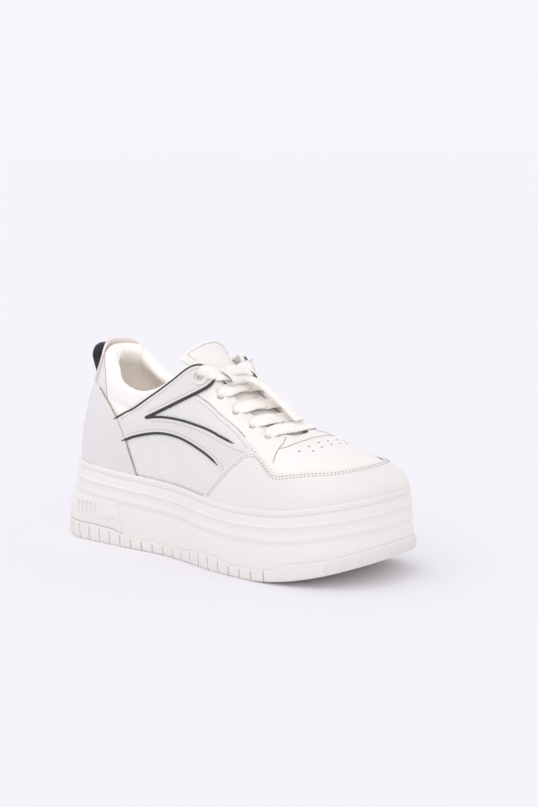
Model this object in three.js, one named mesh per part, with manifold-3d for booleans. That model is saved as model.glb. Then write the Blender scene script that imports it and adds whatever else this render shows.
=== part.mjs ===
// Platform sneaker, right shoe, standing on its sole.
// Millimetres, +Z up, +X towards the toe, -Y the outer (lateral) side, +Y the inner (medial) side.
// Inside the functions x runs from the back of the outsole (0) to its tip (LENGTH); the group then
// moves everything so that the origin is at the bottom centre of the whole shoe.
import * as THREE from 'three';
import Module from 'manifold-3d';

const wasm = await Module();
wasm.setup();

// ---------------------------------------------------------------- driving dimensions
const LENGTH = 275;            // outsole, back of heel to tip
const GAP = 0.3;               // clearance between pieces that touch
const CENTRE_Y = 0.9;          // middle of the whole width, measured from the heel's centre line
const TOE_SWING = 8.5;         // how far the tip turns in towards the other foot
const SWING_START = 150;       // where that turn begins
const SPRING_START = 193;      // the tread leaves the floor here
const TOE_SPRING = 17;         // and has risen this much at the tip
const RIM_WALL = 2.0;          // thickness of the midsole's rim around the upper
const CUP_DEPTH = 8;           // rim down to the floor that the insole lies on
const INSOLE = 4.5;
const SHELL = 2.4;             // upper: leather, foam and lining together
const OVERLAY = 1.2;           // leather of toe cap, heel counter and heel tab
const OVERLAY_GAP = 0.5;       // overlays clear the facets of the face under them by this
const LACE_WIDTH = 8;
const LACE_THICK = 1.6;
const EYELET_HOLE = 4.4;       // punched hole
const SIDE_COLUMNS = 31;       // steps along each side of the shoe

// Half widths of the outsole, a row for each station between the round ends.
const SOLE_WIDTHS = [
  { x: 38, lateral: 39.7, medial: 39.7 },
  { x: 75, lateral: 39.3, medial: 37.7 },
  { x: 115, lateral: 38.7, medial: 35.0 },
  { x: 160, lateral: 47.8, medial: 45.5 },
  { x: 200, lateral: 52.5, medial: 51.0 },
];
const HEEL_ROUNDNESS = 2.2;    // exponents of the superellipses at the two ends
const TOE_ROUNDNESS = 2.48;

// Heights along the sole: top of the midsole's rim, and top edge of the outsole.
const SOLE_HEIGHTS = [
  { x: 0, rim: 57.5, tread: 12.5 },
  { x: 62, rim: 52.6, tread: 11.5 },
  { x: 78, rim: 51.8, tread: 8.0 },
  { x: 128, rim: 49.0, tread: 7.0 },
  { x: 150, rim: 47.5, tread: 10.2 },
  { x: 172, rim: 46.4, tread: 9.4 },
  { x: 182, rim: 46.2, tread: 7.2 },
  { x: 214, rim: 47.4, tread: 9.2 },
  { x: 226, rim: 48.8, tread: 14.2 },
  { x: 250, rim: 52.8, tread: 18.6 },
  { x: 275, rim: 57.9, tread: 26.5 },
];

// ---------------------------------------------------------------- curves through a table
// Cubic Hermite through the rows of a table, read at `at` along the column `key`.
function along(table, key, at, name) {
  const last = table.length - 1;
  let i = 0;
  while (i < last - 1 && at > table[i + 1][key]) i += 1;
  const slope = (k) => {
    const a = table[Math.max(k - 1, 0)];
    const b = table[Math.min(k + 1, last)];
    return (b[name] - a[name]) / (b[key] - a[key]);
  };
  const span = table[i + 1][key] - table[i][key];
  const t = Math.min(Math.max((at - table[i][key]) / span, 0), 1);
  const t2 = t * t;
  const t3 = t2 * t;
  return (2 * t3 - 3 * t2 + 1) * table[i][name] + (t3 - 2 * t2 + t) * span * slope(i)
    + (3 * t2 - 2 * t3) * table[i + 1][name] + (t3 - t2) * span * slope(i + 1);
}

const smooth = (t) => t * t * (3 - 2 * t);
const step = (from, to, at) => smooth(Math.min(Math.max((at - from) / (to - from), 0), 1));

// ---------------------------------------------------------------- outline of the sole
// `round` is the place around the shoe: 0 heel, 0.5 toe, 1 heel again, lateral side first.
function halfWidth(x, side) {
  const first = SOLE_WIDTHS[0];
  const last = SOLE_WIDTHS[SOLE_WIDTHS.length - 1];
  if (x < first.x) {
    const u = (first.x - x) / first.x;
    return first[side] * (1 - u ** HEEL_ROUNDNESS) ** (1 / HEEL_ROUNDNESS);
  }
  if (x > last.x) {
    const u = Math.min((x - last.x) / (LENGTH - last.x), 1);
    return last[side] * (1 - u ** TOE_ROUNDNESS) ** (1 / TOE_ROUNDNESS);
  }
  return along(SOLE_WIDTHS, 'x', x, side);
}

function swing(x) {
  const u = Math.max((x - SWING_START) / (LENGTH - SWING_START), 0);
  return TOE_SWING * u * u;
}

function edge(round) {
  const lateral = round <= 0.5;
  const u = lateral ? round * 2 : 2 - round * 2;
  const x = LENGTH * (1 - Math.cos(Math.PI * u)) / 2;
  const y = halfWidth(x, lateral ? 'lateral' : 'medial');
  return new THREE.Vector2(x, (lateral ? -y : y) + swing(x));
}

// Point of the outline moved inwards by `inset`, square to the edge.
function outline(round, inset) {
  const small = 0.002;
  const r = ((round % 1) + 1) % 1;
  const before = edge((r - small + 1) % 1);
  const after = edge((r + small) % 1);
  const forward = after.sub(before).normalize();
  return edge(r).add(new THREE.Vector2(-forward.y, forward.x).multiplyScalar(inset));
}

// The rim stands in from the tread's edge, more so at the heel, where the wall leans forwards.
const RIM_SIDE = 3.4;
const rimInset = (x) => RIM_SIDE + 6.6 * Math.exp(-((x / 24) ** 2));
const cupInset = (x) => rimInset(x) + RIM_WALL + 1.8 * Math.exp(-((x / 30) ** 2));
const rimHeight = (x) => along(SOLE_HEIGHTS, 'x', x, 'rim');
const treadHeight = (x) => along(SOLE_HEIGHTS, 'x', x, 'tread');
function bottomHeight(x) {
  const u = Math.max((x - SPRING_START) / (LENGTH - SPRING_START), 0);
  return TOE_SPRING * u ** 1.8;
}

const ROUNDS = Array.from({ length: SIDE_COLUMNS * 2 }, (_, i) => i / (SIDE_COLUMNS * 2));

// ---------------------------------------------------------------- meshes from rings and grids
function geometry(points, triangles) {
  const g = new THREE.BufferGeometry();
  g.setAttribute('position', new THREE.Float32BufferAttribute(points.flatMap((p) => [p.x, p.y, p.z]), 3));
  g.setIndex(triangles.flat());
  return g;
}

function band(lower, upper, count, closed) {
  const out = [];
  const steps = closed ? count : count - 1;
  for (let i = 0; i < steps; i += 1) {
    const j = (i + 1) % count;
    out.push([lower + i, lower + j, upper + j], [lower + i, upper + j, upper + i]);
  }
  return out;
}

// Rings from the underside upwards and back down inside, joined last to first: a wall around a hole.
function tubeOfRings(rings) {
  const n = rings[0].length;
  const triangles = rings.flatMap((_, k) => band(k * n, ((k + 1) % rings.length) * n, n, true));
  return geometry(rings.flat(), triangles);
}

// Rings from the underside upwards, closed at each end by strips that run straight across the shoe.
function stackOfRings(rings) {
  const n = rings[0].length;
  const triangles = [];
  for (let k = 0; k < rings.length - 1; k += 1) triangles.push(...band(k * n, (k + 1) * n, n, true));
  const top = (rings.length - 1) * n;
  for (let i = 0; i < n / 2; i += 1) {
    const strip = [[i, i + 1, n - i - 1], [i, n - i - 1, (n - i) % n]];
    for (const [a, b, c] of strip.filter((t) => new Set(t).size === 3)) {
      triangles.push([c, b, a], [top + a, top + b, top + c]);
    }
  }
  return geometry(rings.flat(), triangles);
}

// A curved sheet with thickness: two grids of rows, outer and inner, joined all round.
function sheet(outer, inner) {
  const rows = outer.length;
  const cols = outer[0].length;
  const below = rows * cols;
  const triangles = [];
  for (let r = 0; r < rows - 1; r += 1) {
    triangles.push(...band(r * cols, (r + 1) * cols, cols, false));
    triangles.push(...band(below + r * cols, below + (r + 1) * cols, cols, false).map(([a, b, c]) => [c, b, a]));
  }
  const rim = [];
  for (let c = 0; c < cols; c += 1) rim.push(c);
  for (let r = 1; r < rows; r += 1) rim.push(r * cols + cols - 1);
  for (let c = cols - 2; c >= 0; c -= 1) rim.push((rows - 1) * cols + c);
  for (let r = rows - 2; r > 0; r -= 1) rim.push(r * cols);
  rim.forEach((a, i) => {
    const b = rim[(i + 1) % rim.length];
    triangles.push([a, below + a, below + b], [a, below + b, b]);
  });
  return geometry([...outer.flat(), ...inner.flat()], triangles);
}

const solidOf = (g) => new wasm.Manifold(new wasm.Mesh({
  numProp: 3,
  vertProperties: new Float32Array(g.attributes.position.array),
  triVerts: new Uint32Array(g.index.array),
}));

function geometryOf(solid) {
  const mesh = solid.getMesh();
  const g = new THREE.BufferGeometry();
  g.setAttribute('position', new THREE.Float32BufferAttribute(mesh.vertProperties, 3));
  g.setIndex([...mesh.triVerts]);
  return g;
}

// A three.js primitive with its shared corners merged, moved into place by a matrix.
function primitive(shape, matrix) {
  const keys = new Map();
  const points = [];
  const at = shape.attributes.position;
  const remap = [];
  for (let i = 0; i < at.count; i += 1) {
    const key = [at.getX(i), at.getY(i), at.getZ(i)].map((v) => Math.round(v * 1e4)).join(',');
    if (!keys.has(key)) {
      keys.set(key, points.length);
      points.push(new THREE.Vector3(at.getX(i), at.getY(i), at.getZ(i)).applyMatrix4(matrix));
    }
    remap.push(keys.get(key));
  }
  const triangles = [];
  for (let i = 0; i < shape.index.count; i += 3) {
    const t = [0, 1, 2].map((k) => remap[shape.index.getX(i + k)]);
    if (new Set(t).size === 3) triangles.push(t);
  }
  return solidOf(geometry(points, triangles));
}

const SEAM_INSETS = [1.3, 5];  // rings that outsole and midsole share where they are glued

// ---------------------------------------------------------------- outsole
// A rubber slab with a straight-cut wall, notched all round, with cross grooves in its tread.
function outsole() {
  const ring = (inset, height) => ROUNDS.map((r) => {
    const p = outline(r, inset);
    return new THREE.Vector3(p.x, p.y, height(edge(r).x));
  });
  const body = solidOf(stackOfRings([
    ring(1.4, (x) => bottomHeight(x)),
    ring(0.3, (x) => bottomHeight(x) + 1.6),
    ring(0, (x) => treadHeight(x) * 0.45 + bottomHeight(x) * 0.55),
    ring(0.4, (x) => treadHeight(x) - 0.8),
    ...SEAM_INSETS.map((inset) => ring(inset, treadHeight)),
  ]));
  const NOTCHES = 22;          // along each side
  const cuts = [];
  for (let i = 0; i < NOTCHES * 2; i += 1) {
    const r = (i + 0.5) / (NOTCHES * 2);
    const from = outline(r, 1.6);
    const to = outline(r, 0);
    const x = edge(r).x;
    const low = bottomHeight(x);
    const tall = Math.min(5.5, (treadHeight(x) - low) * 0.62);
    const turn = Math.atan2(to.y - from.y, to.x - from.x);
    const place = new THREE.Matrix4().makeRotationZ(turn).setPosition(from.x, from.y, low - 1 + tall / 2);
    cuts.push(primitive(new THREE.BoxGeometry(6, 1.3, tall + 2), place));
  }
  const GROOVES = [20, 40, 60, 156, 176, 196, 216];
  for (const x of GROOVES) {
    const wide = Math.min(halfWidth(x, 'lateral'), halfWidth(x, 'medial')) * 1.5;
    const place = new THREE.Matrix4().setPosition(x, swing(x), bottomHeight(x) + 0.3);
    cuts.push(primitive(new THREE.BoxGeometry(3, wide, 3), place));
  }
  const WAIST = new THREE.Matrix4().setPosition(108, -0.5, 0);
  cuts.push(primitive(new THREE.BoxGeometry(54, 46, 5), WAIST));
  return geometryOf(cuts.reduce((solid, cut) => solid.subtract(cut), body));
}

// ---------------------------------------------------------------- midsole
// The thick foam wall: a rounded rim, a groove under it, a sharp ridge, then a soft wave down to the
// outsole. The rows give the depth below the rim, how far the wall stands out from the rim, and the
// share of the heel's lean that it has reached.
const WALL_ROWS = [
  { depth: 36, out: 2.1, lean: 1 },
  { depth: 28, out: 1.9, lean: 0.78 },
  { depth: 22.5, out: 0.9, lean: 0.4 },
  { depth: 19.5, out: 1.6, lean: 0.22 },
  { depth: 16.5, out: 0.9, lean: 0.1 },
  { depth: 12.4, out: 0.8, lean: 0.05 },
  { depth: 11.0, out: 1.4, lean: 0.04 },
  { depth: 10.2, out: 0.6, lean: 0.03 },
  { depth: 5.4, out: 0.3, lean: 0 },
  { depth: 4.6, out: -0.6, lean: 0 },
  { depth: 3.8, out: 0.2, lean: 0 },
  { depth: 1.0, out: 0.2, lean: 0 },
  { depth: 0, out: -0.8, lean: 0 },
];
const MIDSOLE_FULL = 36;       // the depth at which the table's wall meets the outsole

function midsole() {
  const seam = (inset) => ROUNDS.map((r) => {
    const p = outline(r, inset);
    return new THREE.Vector3(p.x, p.y, treadHeight(edge(r).x) + GAP);
  });
  const ring = ({ depth, out, lean }) => ROUNDS.map((r) => {
    const x = edge(r).x;
    const height = rimHeight(x) - treadHeight(x) - GAP - 0.5;
    const p = outline(r, rimInset(x) - out - lean * (rimInset(x) - RIM_SIDE));
    return new THREE.Vector3(p.x, p.y, rimHeight(x) - depth * height / MIDSOLE_FULL);
  });
  const inside = (extra, drop) => ROUNDS.map((r) => {
    const x = edge(r).x;
    const p = outline(r, cupInset(x) + extra);
    return new THREE.Vector3(p.x, p.y, rimHeight(x) - drop);
  });
  return stackOfRings([
    ...SEAM_INSETS.map(seam).reverse(),
    ...WALL_ROWS.map(ring),
    inside(-0.5, 0),
    inside(0, 0.6),
    inside(0.2, CUP_DEPTH),
  ]);
}

// ---------------------------------------------------------------- upper
// The upper's outer face is a family of curves from the foot of the wall to the top edge, one for
// each station around the shoe. Every curve leaves the foot by `rise` up and `out` outwards, and
// comes into the top edge from `flow` forwards, `spread` to the side and `drop` below.
// `pad` is the thickness of the wall at the top edge, where the collar is padded.
const LAST = [
  { round: 0.000, x: 31.5, y: 0, z: 133.5, rise: 36, out: -0.5, flow: -7, spread: 0, drop: 18, pad: 11 },
  { round: 0.085, x: 40.0, y: -18.5, z: 130.5, rise: 33, out: 0.0, flow: -4, spread: 3, drop: 18, pad: 11 },
  { round: 0.130, x: 50.0, y: -24.5, z: 121.0, rise: 28, out: 1.0, flow: -1, spread: 4, drop: 16, pad: 10 },
  { round: 0.158, x: 61.0, y: -27.5, z: 111.5, rise: 24, out: 1.5, flow: 0, spread: 4, drop: 14, pad: 8.5 },
  { round: 0.180, x: 78.0, y: -28.5, z: 107.0, rise: 22, out: 1.8, flow: 0, spread: 4, drop: 13, pad: 7 },
  { round: 0.204, x: 97.0, y: -28, z: 111.0, rise: 24, out: 2.0, flow: 0, spread: 5, drop: 13, pad: 6 },
  { round: 0.226, x: 112.0, y: -26, z: 120.3, rise: 26, out: 2.0, flow: 0, spread: 6, drop: 14, pad: 4.5 },
  { round: 0.243, x: 124.5, y: -23.5, z: 129.8, rise: 26, out: 2.0, flow: 0, spread: 8, drop: 13, pad: 2.6 },
  { round: 0.258, x: 134.5, y: -20, z: 132.5, rise: 26, out: 2.0, flow: 0, spread: 10, drop: 10, pad: 2.4 },
  { round: 0.272, x: 141.5, y: -15, z: 125.6, rise: 26, out: 1.5, flow: 0, spread: 13, drop: 5.5, pad: 2.4 },
  { round: 0.290, x: 151.5, y: -15, z: 114.4, rise: 25, out: 1.0, flow: 0, spread: 16, drop: 2.8, pad: 2.4 },
  { round: 0.315, x: 172.0, y: -15, z: 100.4, rise: 23, out: 1.0, flow: 0, spread: 18, drop: 1.2, pad: 2.4 },
  { round: 0.345, x: 190.0, y: -15, z: 91.2, rise: 20, out: 1.0, flow: 2, spread: 19, drop: 1.0, pad: 2.4 },
  { round: 0.385, x: 198.5, y: -10, z: 88.6, rise: 17, out: 1.2, flow: 12, spread: 19, drop: 4, pad: 2.4 },
  { round: 0.440, x: 201.5, y: -4, z: 87.6, rise: 15, out: 1.5, flow: 27, spread: 13, drop: 7, pad: 2.4 },
  { round: 0.500, x: 202.0, y: 1, z: 87.8, rise: 15, out: 1.5, flow: 34, spread: 0, drop: 8, pad: 2.4 },
  { round: 0.560, x: 201.5, y: 6, z: 88.0, rise: 14, out: 1.5, flow: 26, spread: -12, drop: 7, pad: 2.4 },
  { round: 0.615, x: 199.0, y: 12, z: 88.6, rise: 16, out: 1.2, flow: 12, spread: -17, drop: 3, pad: 2.4 },
  { round: 0.655, x: 191.0, y: 16.5, z: 90.0, rise: 20, out: 1.0, flow: 2, spread: -18, drop: 1.0, pad: 2.4 },
  { round: 0.685, x: 173.0, y: 16.5, z: 98.6, rise: 24, out: 1.0, flow: 0, spread: -17, drop: 2.2, pad: 2.4 },
  { round: 0.710, x: 152.0, y: 16.5, z: 113.2, rise: 26, out: 1.0, flow: 0, spread: -15, drop: 4.5, pad: 2.4 },
  { round: 0.728, x: 140.5, y: 17, z: 125.2, rise: 26, out: 1.5, flow: 0, spread: -12, drop: 7, pad: 2.4 },
  { round: 0.742, x: 134.5, y: 19.5, z: 133.5, rise: 27, out: 1.5, flow: 0, spread: -9, drop: 10, pad: 2.4 },
  { round: 0.757, x: 125.0, y: 23, z: 130.0, rise: 27, out: 1.5, flow: 0, spread: -7, drop: 13, pad: 2.6 },
  { round: 0.774, x: 112.0, y: 25.5, z: 120.5, rise: 27, out: 1.5, flow: 0, spread: -5, drop: 14, pad: 4.5 },
  { round: 0.796, x: 97.0, y: 27, z: 111.5, rise: 25, out: 1.5, flow: 0, spread: -4, drop: 13, pad: 6 },
  { round: 0.820, x: 78.0, y: 27.5, z: 107.5, rise: 23, out: 1.2, flow: 0, spread: -4, drop: 13, pad: 7 },
  { round: 0.842, x: 61.0, y: 27, z: 111.5, rise: 24, out: 1.0, flow: 0, spread: -4, drop: 14, pad: 8.5 },
  { round: 0.870, x: 50.0, y: 24.5, z: 121.0, rise: 28, out: 1.0, flow: -1, spread: -4, drop: 16, pad: 10 },
  { round: 0.915, x: 40.0, y: 18.5, z: 130.5, rise: 33, out: 0.0, flow: -4, spread: -3, drop: 18, pad: 11 },
];
const FIRST = LAST[0];
const FINAL = LAST[LAST.length - 1];
const AROUND = [{ ...FINAL, round: FINAL.round - 1 }, ...LAST, { ...FIRST, round: 1 },
  { ...LAST[1], round: 1 + LAST[1].round }];
const station = (round, name) => along(AROUND, 'round', round, name);

// Foot of the upper: just inside the midsole's rim, which is broader at the heel.
function foot(round) {
  const x = edge(round).x;
  const p = outline(round, cupInset(x) + GAP + 0.2);
  return new THREE.Vector3(p.x, p.y, rimHeight(x));
}

function outwards(round) {
  const a = outline(round, 0);
  const b = outline(round, 1);
  return new THREE.Vector3(a.x - b.x, a.y - b.y, 0);
}

// Outer face of the upper at `round`, `up` from 0 at the rim to 1 at the top edge.
function upperFace(round, up) {
  const r = ((round % 1) + 1) % 1;
  const start = foot(r);
  const top = new THREE.Vector3(station(r, 'x'), station(r, 'y'), station(r, 'z'));
  const low = start.clone().add(new THREE.Vector3(0, 0, station(r, 'rise')))
    .addScaledVector(outwards(r), station(r, 'out'));
  const high = top.clone().add(new THREE.Vector3(station(r, 'flow'), -station(r, 'spread'), -station(r, 'drop')));
  return new THREE.CubicBezierCurve3(start, low, high, top).getPoint(up);
}

function upperNormal(round, up) {
  const e = 0.004;
  const u0 = Math.max(up - e, 0);
  const u1 = Math.min(up + e, 1);
  const across = upperFace(round + e, up).sub(upperFace(round - e, up));
  const climb = upperFace(round, u1).sub(upperFace(round, u0));
  return across.cross(climb).normalize();
}

const shifted = (round, up, by) => upperFace(round, up).addScaledVector(upperNormal(round, up), by);

// Thickness of the wall: leather and lining low down, growing into the padded collar.
const wall = (round, up) => SHELL + (station(round, 'pad') - SHELL) * step(0.62, 0.97, up);

const EYELETS = [0.256, 0.288, 0.305, 0.324, 0.346];        // lateral side, top to bottom
const EYELET_SET_BACK = 9;     // from the throat's edge to the middle of a hole

// How far up a curve of the face lies the point `back` millimetres below the top edge.
function upAt(round, back) {
  const top = upperFace(round, 1);
  let up = 1;
  while (top.distanceTo(upperFace(round, up)) < back) up -= 0.002;
  return up;
}

function eyelet(round) {
  const up = upAt(round, EYELET_SET_BACK);
  return { at: upperFace(round, up), normal: upperNormal(round, up) };
}

const eyelets = EYELETS.map((round) => ({ lateral: eyelet(round), medial: eyelet(1 - round) }));

function upper() {
  const OUTER = [0, 0.1, 0.2, 0.3, 0.4, 0.5, 0.6, 0.7, 0.8, 0.9, 1];
  const INNER = [0.97, 0.85, 0.7, 0.5, 0.3, 0.1];
  const face = (up) => ROUNDS.map((r) => upperFace(r, up));
  const lining = (up) => ROUNDS.map((r) => shifted(r, up, -wall(r, up)));
  const hem = (by) => ROUNDS.map((r) => {
    const x = edge(r).x;
    const p = outline(r, cupInset(x) + 0.2 + GAP + by);
    return new THREE.Vector3(p.x, p.y, rimHeight(x) - CUP_DEPTH + GAP);
  });
  // The top edge is rounded over: half a turn from the outer face to the lining.
  const lip = (turn) => ROUNDS.map((r) => {
    const half = wall(r, 1) / 2;
    const normal = upperNormal(r, 1);
    const climb = upperFace(r, 1).sub(upperFace(r, 0.98)).normalize();
    return upperFace(r, 1).addScaledVector(normal, half * (Math.cos(turn) - 1))
      .addScaledVector(climb, half * 0.8 * Math.sin(turn));
  });
  const rings = [hem(SHELL), hem(0), ...OUTER.map(face), lip(Math.PI * 0.25), lip(Math.PI * 0.5),
    lip(Math.PI * 0.75), ...INNER.map(lining)];
  let solid = solidOf(tubeOfRings(rings));
  const up = new THREE.Vector3(0, 1, 0);
  for (const pair of eyelets) {
    for (const { at, normal } of [pair.lateral, pair.medial]) {
      const place = new THREE.Matrix4().makeRotationFromQuaternion(
        new THREE.Quaternion().setFromUnitVectors(up, normal)).setPosition(at);
      const punch = new THREE.CylinderGeometry(EYELET_HOLE / 2, EYELET_HOLE / 2, 9, 8);
      solid = solid.subtract(primitive(punch, place));
    }
  }
  return geometryOf(solid);
}

// ---------------------------------------------------------------- overlays on the upper
// Each follows the upper's own face, between two offsets of it. `up` is how high it reaches.
// Each table runs from the lateral end to the middle; the medial half mirrors it.
function bothSides(half) {
  const middle = half[half.length - 1].round;
  const medial = half.slice(0, -1).reverse().map(({ round, up }) => ({ round: 2 * middle - round, up }));
  return [...half, ...medial];
}

const TOE_CAP = bothSides([
  { round: 0.272, up: 0.070 },
  { round: 0.276, up: 0.102 },
  { round: 0.292, up: 0.240 },
  { round: 0.308, up: 0.380 },
  { round: 0.318, up: 0.468 },
  { round: 0.326, up: 0.518 },
  { round: 0.332, up: 0.528 },
  { round: 0.338, up: 0.492 },
  { round: 0.342, up: 0.446 },
  { round: 0.346, up: 0.400 },
  { round: 0.350, up: 0.376 },
  { round: 0.356, up: 0.373 },
  { round: 0.370, up: 0.394 },
  { round: 0.390, up: 0.410 },
  { round: 0.420, up: 0.415 },
  { round: 0.500, up: 0.418 },
]);
const HEEL_COUNTER = bothSides([
  { round: -0.184, up: 0.060 },
  { round: -0.180, up: 0.196 },
  { round: -0.174, up: 0.364 },
  { round: -0.166, up: 0.528 },
  { round: -0.158, up: 0.616 },
  { round: -0.150, up: 0.658 },
  { round: -0.140, up: 0.684 },
  { round: -0.120, up: 0.705 },
  { round: -0.090, up: 0.700 },
  { round: 0, up: 0.700 },
]);

function overlay(table, columns, rows) {
  const first = table[0].round;
  const last = table[table.length - 1].round;
  const grid = (by) => Array.from({ length: rows + 1 }, (_, j) => (
    Array.from({ length: columns + 1 }, (__, i) => {
      const round = first + (last - first) * (i / columns);
      const up = 0.02 + (along(table, 'round', round, 'up') - 0.02) * (j / rows);
      return shifted(round, up, by);
    })));
  return sheet(grid(OVERLAY_GAP + OVERLAY), grid(OVERLAY_GAP));
}

// Heel tab: a leather tongue of the back seam that stands up behind the padded collar.
function heelTab() {
  const COLUMNS = 10;
  const ROWS = 7;
  const REACH = 0.09;          // how far round it wraps, each way
  const LOW = 0.725;
  const STAND = 5.5;           // rise above the collar's edge in the middle
  const grid = (by) => Array.from({ length: ROWS + 1 }, (_, j) => (
    Array.from({ length: COLUMNS + 1 }, (__, i) => {
      const side = (i / COLUMNS) * 2 - 1;
      const round = side * REACH;
      const low = LOW + 0.02 * Math.abs(side);
      const climb = 0.5 + STAND * (1 - side ** 4);
      const v = j / ROWS;
      const join = 0.6;
      if (v <= join) return shifted(round, low + (1 - low) * (v / join), by);
      const over = (v - join) / (1 - join);
      const rising = upperFace(round, 1).sub(upperFace(round, 0.96)).normalize();
      return shifted(round, 1, by).addScaledVector(rising, climb * over);
    })));
  return sheet(grid(OVERLAY_GAP + OVERLAY + 0.6), grid(OVERLAY_GAP));
}

// ---------------------------------------------------------------- insole
function insole() {
  const ring = (height, inset) => ROUNDS.map((r) => {
    const x = edge(r).x;
    const p = outline(r, cupInset(x) + 0.2 + GAP * 2 + SHELL + inset);
    return new THREE.Vector3(p.x, p.y, rimHeight(x) - CUP_DEPTH + GAP + height);
  });
  return stackOfRings([ring(0, 0.4), ring(INSOLE - 1, 0.2), ring(INSOLE, 1.2)]);
}

// ---------------------------------------------------------------- tongue
// A padded tongue that lies under the vamp and the eyelet facings and stands up past the collar.
// Its front and its free top are given by rows: place and height of its middle, half width, how far
// its sides fall and how far they are wrapped back around the ankle.
const TONGUE_FRONT = [
  { x: 208, z: 82.4, half: 14, fall: 2.6, wrap: 0, thick: 2.4 },
  { x: 201, z: 84.4, half: 15.5, fall: 2.8, wrap: 0, thick: 2.6 },
];
const TONGUE_TOP = [
  { x: 130.5, z: 133.0, half: 16.4, fall: 7.0, wrap: 3, thick: 6.0 },
  { x: 125.5, z: 138.8, half: 22.5, fall: 9.5, wrap: 6.5, thick: 8.0 },
  { x: 121.5, z: 143.4, half: 24.5, fall: 11, wrap: 8, thick: 8.0 },
];
const UNDER_FACINGS = [
  { round: 0.345, crown: 0.8, thick: 3.0 },
  { round: 0.328, crown: 0.4, thick: 3.4 },
  { round: 0.310, crown: 0.2, thick: 3.8 },
  { round: 0.292, crown: 0.2, thick: 4.2 },
  { round: 0.276, crown: 0.6, thick: 5.0 },
];
const TUCKS = [7.5, 4, 0.8];   // how far the tongue reaches under a facing, from its edge

function tongueRow({ x, z, half, fall, wrap }) {
  return Array.from({ length: 11 }, (_, i) => {
    const side = i / 5 - 1;
    return new THREE.Vector3(x - wrap * side * side, half * side + swing(x) + 0.8, z - fall * side * side);
  });
}

function tongueUnder({ round, crown }) {
  const below = (r, back) => shifted(r, upAt(r, back), -(SHELL + GAP + 0.25));
  const left = TUCKS.map((back) => below(round, back));
  const right = TUCKS.map((back) => below(1 - round, back)).reverse();
  const from = left[2];
  const to = right[0];
  const middle = from.clone().lerp(to, 0.5).add(new THREE.Vector3(crown, 0, crown * 1.6));
  const bridge = new THREE.QuadraticBezierCurve3(from, middle, to).getPoints(6).slice(1, -1);
  return [...left, ...bridge, ...right];
}

function tongueRows() {
  const top = TONGUE_TOP.map((row) => ({ points: tongueRow(row), thick: row.thick }));
  const under = UNDER_FACINGS.map((row) => ({ points: tongueUnder(row), thick: row.thick }));
  const front = TONGUE_FRONT.map((row) => ({ points: tongueRow(row), thick: row.thick }));
  return [...front, ...under, ...top];
}

function tongue() {
  const rows = tongueRows();
  const outer = rows.map((row) => row.points);
  const inner = rows.map(({ points, thick }, j) => points.map((p, i) => {
    const climb = outer[Math.min(j + 1, rows.length - 1)][i].clone().sub(outer[Math.max(j - 1, 0)][i]);
    const across = points[Math.min(i + 1, 10)].clone().sub(points[Math.max(i - 1, 0)]);
    const inwards = climb.cross(across).normalize();
    const side = Math.abs(i / 5 - 1);
    const full = j === rows.length - 1 ? 0.45 : 1;
    return p.clone().addScaledVector(inwards, thick * full * (1 - 0.6 * side ** 3));
  }));
  return sheet(outer, inner);
}

// Point of the tongue's upper side on the middle of the throat, level with an eyelet pair.
function tongueMiddle(round) {
  const spot = UNDER_FACINGS.map((row) => ({ round: -row.round, crown: row.crown }));
  const crown = along(spot, 'round', -round, 'crown');
  return tongueUnder({ round, crown })[5];
}

// ---------------------------------------------------------------- pull loop
// Black webbing sewn to the heel tab, bulging back and folded over at its top.
function pullLoop() {
  const WIDTH = 13;
  const THICK = 1.6;
  const PATH = [
    { back: 0.1, z: 110 },
    { back: 1.8, z: 115 },
    { back: 6.0, z: 121 },
    { back: 9.8, z: 127 },
    { back: 9.6, z: 132.5 },
    { back: 5.5, z: 135.6 },
    { back: 0.2, z: 136 },
  ];
  const backOf = (z) => {
    let up = 0.5;
    while (up < 1 && upperFace(0, up).z < z) up += 0.004;
    const over = Math.max(z - upperFace(0, 1).z, 0);
    return upperFace(0, up).x + over * 0.3 - OVERLAY_GAP - OVERLAY - 1.9;
  };
  const points = PATH.map((row) => new THREE.Vector3(backOf(row.z) - row.back, 0, row.z));
  const curve = new THREE.CatmullRomCurve3(points);
  const STEPS = 12;
  const grid = (by) => Array.from({ length: STEPS + 1 }, (_, j) => {
    const p = curve.getPoint(j / STEPS);
    const t = curve.getTangent(j / STEPS);
    return [-1, 1].map((side) => new THREE.Vector3(p.x - t.z * by, side * WIDTH / 2, p.z + t.x * by));
  });
  return sheet(grid(-THICK / 2), grid(THICK / 2));
}

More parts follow.
